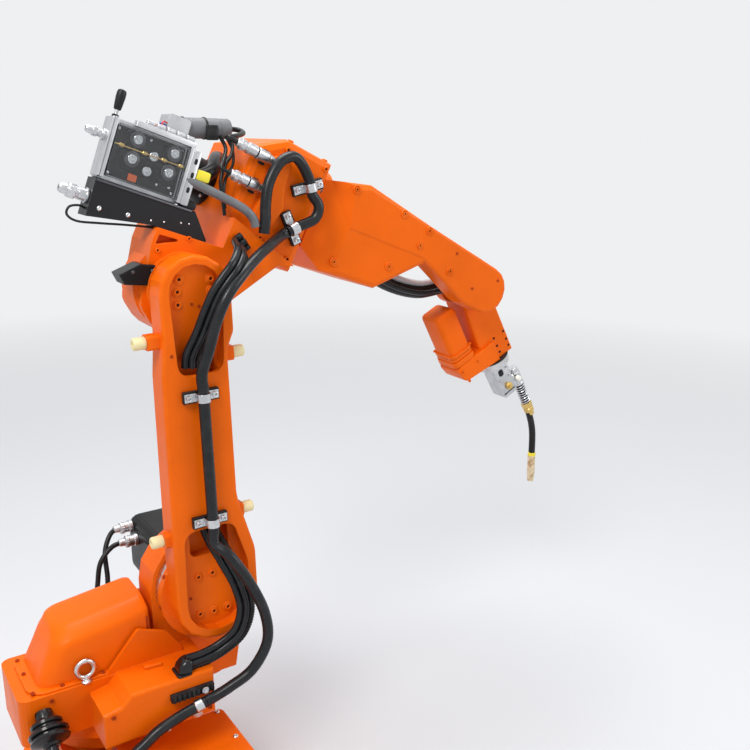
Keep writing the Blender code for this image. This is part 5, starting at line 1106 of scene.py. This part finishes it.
# Wire feeder
def make_feeder():
    near = on(FEEDER, "near", 0, -102.2, 0)

    def shell(mesh):
        outer = rectangle(8.2, 134.8, 8.2, 96.8, 4)
        inside = ((0.6, 1.8), (15.6, 1.8))
        outside = ((0.6, 0), (16.5, 0), (17.5, 0.6), (17.8, 1.5))
        feet = []
        for levels in (inside, outside):
            rows = [
                row_of(mesh, near, [(a, b, height) for a, b in offset(outer, inset)])
                for height, inset in levels
            ]
            for low, high in zip(rows, rows[1:]):
                wall_rows(mesh, low, high)
            mesh.faces.new(rows[-1])
            feet.append(rows[0])
        wall_rows(mesh, *feet)

    add("feeder_window", "elbow", CLEAR, shell, "feeder_cover")
    add("feeder_back_plate", "elbow", DARK_FRAME, slabs(
        (near, rectangle(10.2, 132.8, 10.2, 94.8, 3), 0, 1.6, 0.4),
    ))

    def arms(mesh):
        for outline in (
            [(26, 58, 4), (60, 60, 4), (66, 90, 4), (30, 93, 6)],
            [(96, 58, 4), (128, 60, 6), (130, 90, 6), (94, 92, 4)],
            [(22, 30, 4), (90, 24, 4), (124, 28, 6), (124, 55, 4), (22, 56, 4)],
        ):
            slab(mesh, near, rounded(outline), 1.8, 5.2, 0.8)

    add("feeder_arms", "elbow", BLACK_PAINT, arms)
    rolls = ((46.9, 81), (112.5, 80), (45.8, 48), (111, 46.5), (81, 64), (76, 37))

    def gears(mesh):
        for u, w in rolls[:4]:
            rows = []
            for height, inset in ((0, 0), (4.2, 0), (4.6, 0.6)):
                reaches = [13.8 - inset - (1.3 if k % 4 > 1 else 0) for k in range(96)]
                points = [(reach * a, reach * b, height) for reach, (a, b) in zip(reaches, circle(96))]
                rows.append(row_of(mesh, shifted(near, u, w, 5.4), points))
            close_rows(mesh, rows)

    add("feeder_gears", "elbow", DARK_STEEL, gears)

    def heads(mesh):
        for index, (u, w) in enumerate(rolls):
            base = 10 if index < 4 else 5.2
            spot = shifted(near, u, w, base)
            turn(mesh, spot, [
                (7.8, 0), (7.8, 2.2), (7, 3), (4.6, 3), (4.2, 2.2), (3, 2.2), (2.6, 3.2), (0, 3.4),
            ], 32)

    add("feeder_roll_heads", "elbow", ZINC, heads)
    add("feeder_small_screws", "elbow", ZINC, each(dome_screw, [
        shifted(near, u, w, 1.7)
        for u, w in ((16, 16), (127, 16), (16, 89), (127, 89), (71.5, 88), (99, 22), (121, 23.4))
    ], 2.4, 1.4))

    def wire_path(mesh):
        tube(mesh, FEEDER, [(x, -111, 64) for x in (10, 40, 80, 134)], 1.1, 10)
        for u in (23.5, 64, 98.5, 129):
            turn(
                mesh, on(FEEDER, "front", u - 5, -111, 64),
                [(0, 0), (2.2, 0), (3.6, 2), (3.6, 8), (2.2, 10), (0, 10)], 20,
            )

    add("feeder_wire_path", "elbow", BRASS, wire_path)
    back = [on(FEEDER, "far", u, -74.2, w) for u in (12, 132) for w in (12, 70)]
    back += [on(FEEDER, "far", u, -34.2, w) for u in (104, 134) for w in (81, 141)]
    back += [on(FEEDER, "far", 12, -74.2, 95), on(FEEDER, "far", 60, -74.2, 95)]
    add("feeder_back_screws", "elbow", DARK_STEEL, each(socket_screw, back, 3, 2.2))
    add("feeder_back_panel", "elbow", DARK_FRAME, slabs((
        on(FEEDER, "far", 0, -74.2, 0), rectangle(-90, -22, 22, 66, 4), 0, 1.6, 0.5,
    )))
    add("feeder_tag", "elbow", TAG, slabs((near, rectangle(49, 64, 14, 25.5, 1), 1.8, 2.8, 0.3)))
    add("feeder_frame_plates", "elbow", ALUMINIUM, feeder_frame)

    def slots(mesh):
        face = on(FEEDER, "near", 0, -119.3, 0)
        for w in (30, 56, 80):
            slab(mesh, face, rectangle(147.5, 153, w - 5, w + 5, 2.5), 0, 0.5, 0.1)

    add("feeder_frame_slots", "elbow", DARK_FRAME, slots)
    add("feeder_wire_guide", "elbow", ZINC, turned(on(FEEDER, "rear", -3.5, -96, 71.5), [
        (0, 0), (9.8, 0), (9.8, 4), (7, 5.5), (7, 12), (8.8, 13.5), (8.8, 19.5), (7.2, 21), (6, 29),
        (4.4, 31.5), (3, 32), (2.6, 26), (0, 26),
    ], 36))

    def knob(mesh):
        turn(mesh, on(FEEDER, "top", 8, -88, 105.3), [
            (0, 12), (5, 12), (6.2, 13.5), (7, 20), (8, 33), (7.9, 40), (6.8, 44.2), (4, 45.8), (0, 46),
        ], 32)
        turn(mesh, on(FEEDER, "top", 8, -88, 105.3), [(6, 0), (6, 3), (4.2, 4.5), (0, 4.5)], 28)

    add("feeder_knob", "elbow", PLASTIC, knob, "feeder_lever")
    add("feeder_knob_stem", "elbow", ZINC, turned(
        on(FEEDER, "top", 8, -88, 109), [(0, 0), (3, 0), (3, 9.2), (0, 9.2)], 20,
    ))
    add("feeder_yellow_plug", "elbow", YELLOW, slabs(
        (on(FEEDER, "near", 0, -112, 0), rectangle(158.5, 184, 52, 70, 4), -8, 6, 2),
        (on(FEEDER, "near", 0, -106, 0), rectangle(158.5, 168, 38, 53, 2), -6, 6, 1.5),
    ))
    add("feeder_switch", "elbow", PLASTIC, slabs(
        (on(FEEDER, "near", 0, -118, 0), rectangle(148, 172.5, 0.6, 12.5, 2), -22, 1, 1),
        (on(FEEDER, "near", 0, -118, 0), rectangle(152, 169, 12.7, 17, 1), -18, -2, 1),
    ))
    place = on(BRACKET, "rear", -4.2, -102, 14)
    add("wire_inlet_socket", "elbow", ZINC, turned(place, [
        (0, 0), (12.8, 0), (13.2, 1), (13.2, 4.2), (11.2, 5), (10.6, 17), (9.4, 18), (9.4, 20.5),
        (12.2, 21.5), (12.2, 33), (11.2, 34.5), (9, 35.5), (8.6, 44), (6.6, 47.8), (4.2, 47.8), (3.8, 40),
        (0, 40),
    ], 48), "wire_inlet")
    add("wire_inlet_nut", "elbow", ZINC, turned(
        shifted(place, z=22.5), [(12.8, 0), (13.8, 1), (13.8, 8.5), (12.8, 9.5)], 24, (0, 1, 2, 3),
    ))
    add("bracket_screws", "elbow", ZINC, each(
        dome_screw, facing(FEEDER, "near", -120.2, ((62.4, -41.8), (14, -46))), 4, 2,
    ))
    add("bracket_rivets", "elbow", ZINC, each(dome_screw, facing(
        FEEDER, "near", -120.2, ((102.5, -38.8), (124.9, -34.3), (154.3, -26.9), (168.7, -24.3)),
    ), 1.8, 1))
    add("bracket_rim", "elbow", DARK_STEEL, slabs((
        on(BRACKET, "near", 0, -120.2, 0),
        rounded([(-3, 41.5, 1), (168, 41.5, 1), (166, 45.5, 1), (-3, 45.5, 1)]), 0, 1.6,
    )))

    def bands(mesh):
        for reach, width in ((-38.5, 3), (2, 4)):
            turn_ring(mesh, on(FEED_MOTOR, "front", reach, 0, 0), 18.2, width, 1.2, 40)
        slab(mesh, on(FEED_MOTOR, "near", 0, -17.5, 0), rectangle(-2, 20, -20, 6, 3), 0, 6, 1)

    add("feeder_motor_bands", "elbow", PLASTIC, bands)
    add("feeder_motor_body", "elbow", GREY_PAINT, turned(
        on(FEED_MOTOR, "front", -50, 0, 0),
        [
            (0, 0), (16.2, 0), (17.8, 1.6), (17.8, 8), (17.2, 8.6), (17.2, 9.6), (17.9, 10.2), (17.9, 78),
            (16.8, 78.6), (16.8, 80), (17.8, 80.6), (17.8, 96), (16.4, 99), (12, 99.8), (11.2, 98.5),
            (0, 98.5),
        ],
        56,
    ), "feeder_motor")
    for index, (material, lift) in enumerate(((RED_WIRE, 0), (BLUE_WIRE, 4), (RED_WIRE, 8))):
        points = [
            (70 + lift * 2, -96, 108), (80 + lift, -85, 119 + lift), (100, -74, 121 + lift),
            (122, -70, 118 + lift), (140, -66, 115),
        ]
        add(f"feeder_wire_{index}", "elbow", material, tubed(FEEDER, points, 1.4, 10))
    low = [
        (-3, -104, -6), (-16, -108, -5), (-30, -110, -12), (-30, -111, -25), (-12, -112, -30),
        (24, -112, -22.5), (70, -112, -11.5), (112, -112, -3.5), (150, -113, -3.8), (182, -114, -3.6),
    ]
    add("bracket_cable", "elbow", CONDUIT, tubed(BRACKET, low, 2, 12))


def feeder_frame(mesh):
    """The silver plates and rods round the feeder's window."""
    slab(mesh, on(FEEDER, "near", 0, -102.2, 0), rectangle(136.2, 142.8, 4, 101, 1), 0, 16.8)
    slab(mesh, on(FEEDER, "near", 0, -90, 0), rectangle(143.2, 157.5, 3, 98.5, 3), 0, 29.2, 1)
    slab(mesh, on(FEEDER, "near", 0, -102.2, 0), rectangle(0.4, 6.6, 4, 104, 1), 0, 16.8)
    slab(mesh, on(FEEDER, "top", 0, -111, 100.8), rectangle(36, 143, -7.5, 7.5, 1.5), 0, 9.4)
    slab(mesh, on(FEEDER, "rear", -0.4, 0, 0), rectangle(76, 118.5, 4, 103, 2), 0, 3)
    for u in (60, 78, 96, 114, 132):
        turn(
            mesh, on(FEEDER, "front", u - 7, -112, 113.2),
            [(0, 0), (4.4, 0), (5, 0.8), (5, 13.2), (4.4, 14), (0, 14)], 24,
        )


# Forearm, wrist and torch
def make_forearm_details():
    lugs = ((276.4, 56.5), (401.4, 60), (474.5, 54), (414.4, -50), (290, -90), (564.3, -1))

    def tabs(mesh):
        for u, w in lugs:
            depth = -94.4 if w > -20 else -92.4
            turn(
                mesh, on(FOREARM, "near", u, depth, w),
                [(9, -0.8), (9, 1.2), (8.2, 2), (6.2, 2), (5.6, 0.6), (0, 0.6)], 32,
            )

    add("forearm_screw_tabs", "forearm", ORANGE, tabs)
    places = [on(FOREARM, "near", u, -94.6 if w > -20 else -92.6, w) for u, w in lugs]
    painted_bolts("forearm_screws", "forearm", places, 4.6, 2.4)
    ring = on(FOREARM, "near", 466.7, -94.2, 17.7)
    add("forearm_ring", "forearm", ORANGE, turned(
        ring, [(7.8, 0), (7.8, 1.4), (7, 2), (5.8, 1.8), (5.4, 0.4), (0, 0.4)], 32,
    ))
    painted_bolts("forearm_ring_screw", "forearm", [shifted(ring, z=0.4)], 4.6, 2)
    holes = facing(FOREARM, "near", -94.2, ((565, 40), (640, -12), (700, 30)))
    # Small holes drawn as darker orange discs: painted shade inside the holes.
    add("forearm_small_holes", "forearm", ORANGE_PAINTED_SHADE, each(
        turn, holes, [(3.2, 0), (3.2, 0.6), (2.4, 0.7), (2, 0.2), (0, 0.1)], 18,
    ))
    add("forearm_far_plate", "forearm", ORANGE, slabs((
        on(FOREARM, "far", 0, 92.2, 0),
        rounded([(-400, -85, 12), (-240, -85, 12), (-240, 45, 12), (-400, 52, 12)]), 0, 2.6, 1,
    )))
    spots = [on(FOREARM, "far", u, 94.8, w) for u in (250, 320, 390) for w in (-75, 38)]
    painted_bolts("forearm_far_screws", "forearm", spots, 4.2, 2.8)
    sleeve = add(
        "torch_cable_sleeve", None, SILVER_SLEEVE,
        tubed(ROW, TORCH_CABLE_LOWER[:9], 7.2, 18, 1, 5, (18.5, 9.5)),
    )
    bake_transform(sleeve)
    side = add(
        "torch_cable_companion", None, HOSE, tubed(ROW, TORCH_CABLE_LOWER[:10], 6, 16, 0, 4, (-3, 21.5)),
    )
    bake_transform(side)


def make_wrist_details():
    holes = facing(WRIST, "near", -30.9, (
        (150, 8.5), (172, 9.5), (190, 10.5), (150, 40), (172, 40), (190, 40),
    ))
    add("wrist_holes", "wrist", SOCKET_DARK, each(
        turn, holes, [(3, 0), (3, 0.5), (2.2, 0.6), (1.8, 0.2), (0, 0.1)], 18,
    ))
    levels = ((18, 8), (19.5, 4), (22.5, 1.2), (27, 0), (118, 0), (150, 0))
    cover = each(stack, [on(WRIST, "front", 0, 0, 0)], rectangle(-34, 34, -116, -58, 12), levels)

    def flanges(mesh):
        front = on(WRIST, "front", 0, 0, 0)
        for low, high, grow in ((119.5, 127.5, 3), (128.5, 136.5, 2.2), (137.5, 151.5, 3.4)):
            outline = rectangle(-34 - grow, 34 + grow, -116 - grow, -58 + grow, 13)
            slab(mesh, front, outline, low, high, 1.2)

    add("wrist_motor_shell", "wrist", ORANGE, cover, "wrist_motor_cover")
    add("wrist_motor_flanges", "wrist", ORANGE, flanges)
    corners = facing(WRIST, "rear", 119.2, ((-33, -115), (-33, -59), (33, -115)))
    painted_bolts("wrist_motor_bolts", "wrist", corners, 4, 3)
    hub = ringed(WRIST, "far", (0, 0), 36, 8, 46.2, 10)
    painted_bolts("wrist_hub_bolts", "wrist", hub, 4, 3)
    case = facing(WRIST, "near", -38.2, ((166, -108), (196, -100), (166, -60)))
    painted_bolts("gear_case_bolts", "wrist", case, 3.6, 2.4)
    add("flange_seal", "wrist", PLASTIC, turned(
        on(WRIST, "front", 203.5, 0, 0), [(0, 0), (43.2, 0), (43.8, 0.6), (43.8, 2.4), (0, 2.6)], 56,
    ))


def make_torch():
    add("flange_bolts", "tool", DARK_STEEL, each(
        socket_screw, ringed(FLANGE, "front", (0, 0), 34.5, 6, 0.2, 30), 3.6, 3.4,
    ))
    front = on(FLANGE, "near", 0, -22.2, 0)

    def mount(mesh):
        box = on(FLANGE, "near", 0, 0, 0)
        slab(mesh, box, rectangle(0.2, 10, -26, 26, 4), -24, 24, 1.2)
        slab(mesh, box, rounded([
            (10.4, -21, 3), (94, -17, 5), (94, 20, 5), (70, 24, 4), (10.4, 24, 3),
        ]), -22, 22, 1.4)
        slab(mesh, box, rectangle(58, 90, 23.5, 34.5, 3), -14, 14, 1.2)

    add("torch_mount_block", "tool", ALUMINIUM, mount, "torch_mount")
    add("torch_mount_slot", "tool", DARK_FRAME, slabs(
        (front, rectangle(16, 34, -10, 4, 5.5), 0, 0.5, 0.1),
        (front, rectangle(82, 84.2, -16, 20, 0.5), 0, 0.4, 0.1),
    ))
    add("torch_mount_screws", "tool", ZINC, each(socket_screw, [
        shifted(front, reach, across)
        for reach, across in ((45, -12), (45, 17), (20, 17), (88, -10))
    ], 3.2, 2.8))
    add("torch_side_nut", "tool", BRASS, turned(on(FLANGE, "near", 68, -22.2, 4), [
        (0, 0), (8.8, 0), (9.4, 0.6), (9.4, 6), (8.8, 6.8), (5.8, 7), (5.4, 10.5), (3, 11), (0, 10.8),
    ], 24, (1, 2, 3, 4)))
    add("torch_knob", "tool", WHITE_PLASTIC, turned(
        on(FLANGE, "near", 72, -14.2, 39.5), [(0, 0), (6, 0), (6.6, 1), (6.6, 8), (5.6, 10.5), (0, 11.4)],
        28,
    ))
    axis = on(FLANGE, "front", 0, 0, 47.5)
    add("torch_body", "tool", ZINC, turned(axis, [
        (0, 50), (9.8, 50), (11.2, 51.5), (11.2, 62), (12.8, 63.2), (12.8, 86), (11.2, 87.5), (11.2, 92),
        (13.6, 93.5), (13.6, 98.5), (12.2, 100), (0, 100),
    ], 44), "torch_nut")
    add(
        "torch_spring_core", "tool", PLASTIC,
        turned(axis, [(0, 100.2), (9, 100.2), (9, 158), (0, 158)], 28),
    )

    def spring(mesh):
        route = []
        for step in range(200):
            angle = 16 * pi * step / 199
            route.append(Vector((11.2 * cos(angle), 11.2 * sin(angle), 101.5 + 55 * step / 199)))
        follow(mesh, axis, route, Vector((1, 0, 0)), 8, [1.6])

    add("torch_spring", "tool", ZINC, spring)
    add("torch_ferrule", "tool", BRASS, turned(axis, [
        (0, 158.2), (11.8, 158.2), (13.6, 159.4), (13.6, 170), (11.8, 171.4), (11.8, 174), (13, 175),
        (13, 185), (10.4, 188), (10, 196), (0, 196),
    ], 24, (2, 3)))
    add("torch_neck_skin", "tool", CONDUIT, tubed(ROW, TORCH_NECK, 8.3, 24), "torch_neck")
    tip, aim = Vector(TORCH_NECK[-1]), (Vector(TORCH_NECK[-1]) - Vector(TORCH_NECK[-2])).normalized()
    add("torch_insulator", "tool", YELLOW, turned(
        aimed(ROW, tip - aim * 8, aim), [(8.6, 0), (10, 0.8), (10.2, 7.4), (9.6, 8.2), (8.8, 8.2)], 32,
    ), slot="brass")
    add("torch_nozzle_shell", "tool", COPPER, turned(aimed(ROW, tip, aim), [
        (0, 0.4), (9.2, 0.4), (9.8, 1), (9.8, 10), (9.2, 10.6), (9.2, 11.6), (9.8, 12.2), (9.9, 48),
        (8.2, 66), (7.8, 69.7), (6.6, 69.7), (6.4, 56), (0, 56),
    ], 40), "torch_nozzle")
    add("torch_tip", "tool", COPPER, turned(
        aimed(ROW, tip + aim * 56.2, aim), [(0, 0), (3.6, 0), (3.6, 9), (2.6, 12.2), (1, 12.6), (0, 11)],
        20,
    ))


make_camera()
make_studio()
dress_nodes()
make_hoses()
make_clamps()
make_base_details()
make_swivel_details()
make_arm_details()
make_elbow_details()
make_feeder()
make_forearm_details()
make_wrist_details()
make_torch()
bpy.context.scene.view_settings.view_transform = "Standard"
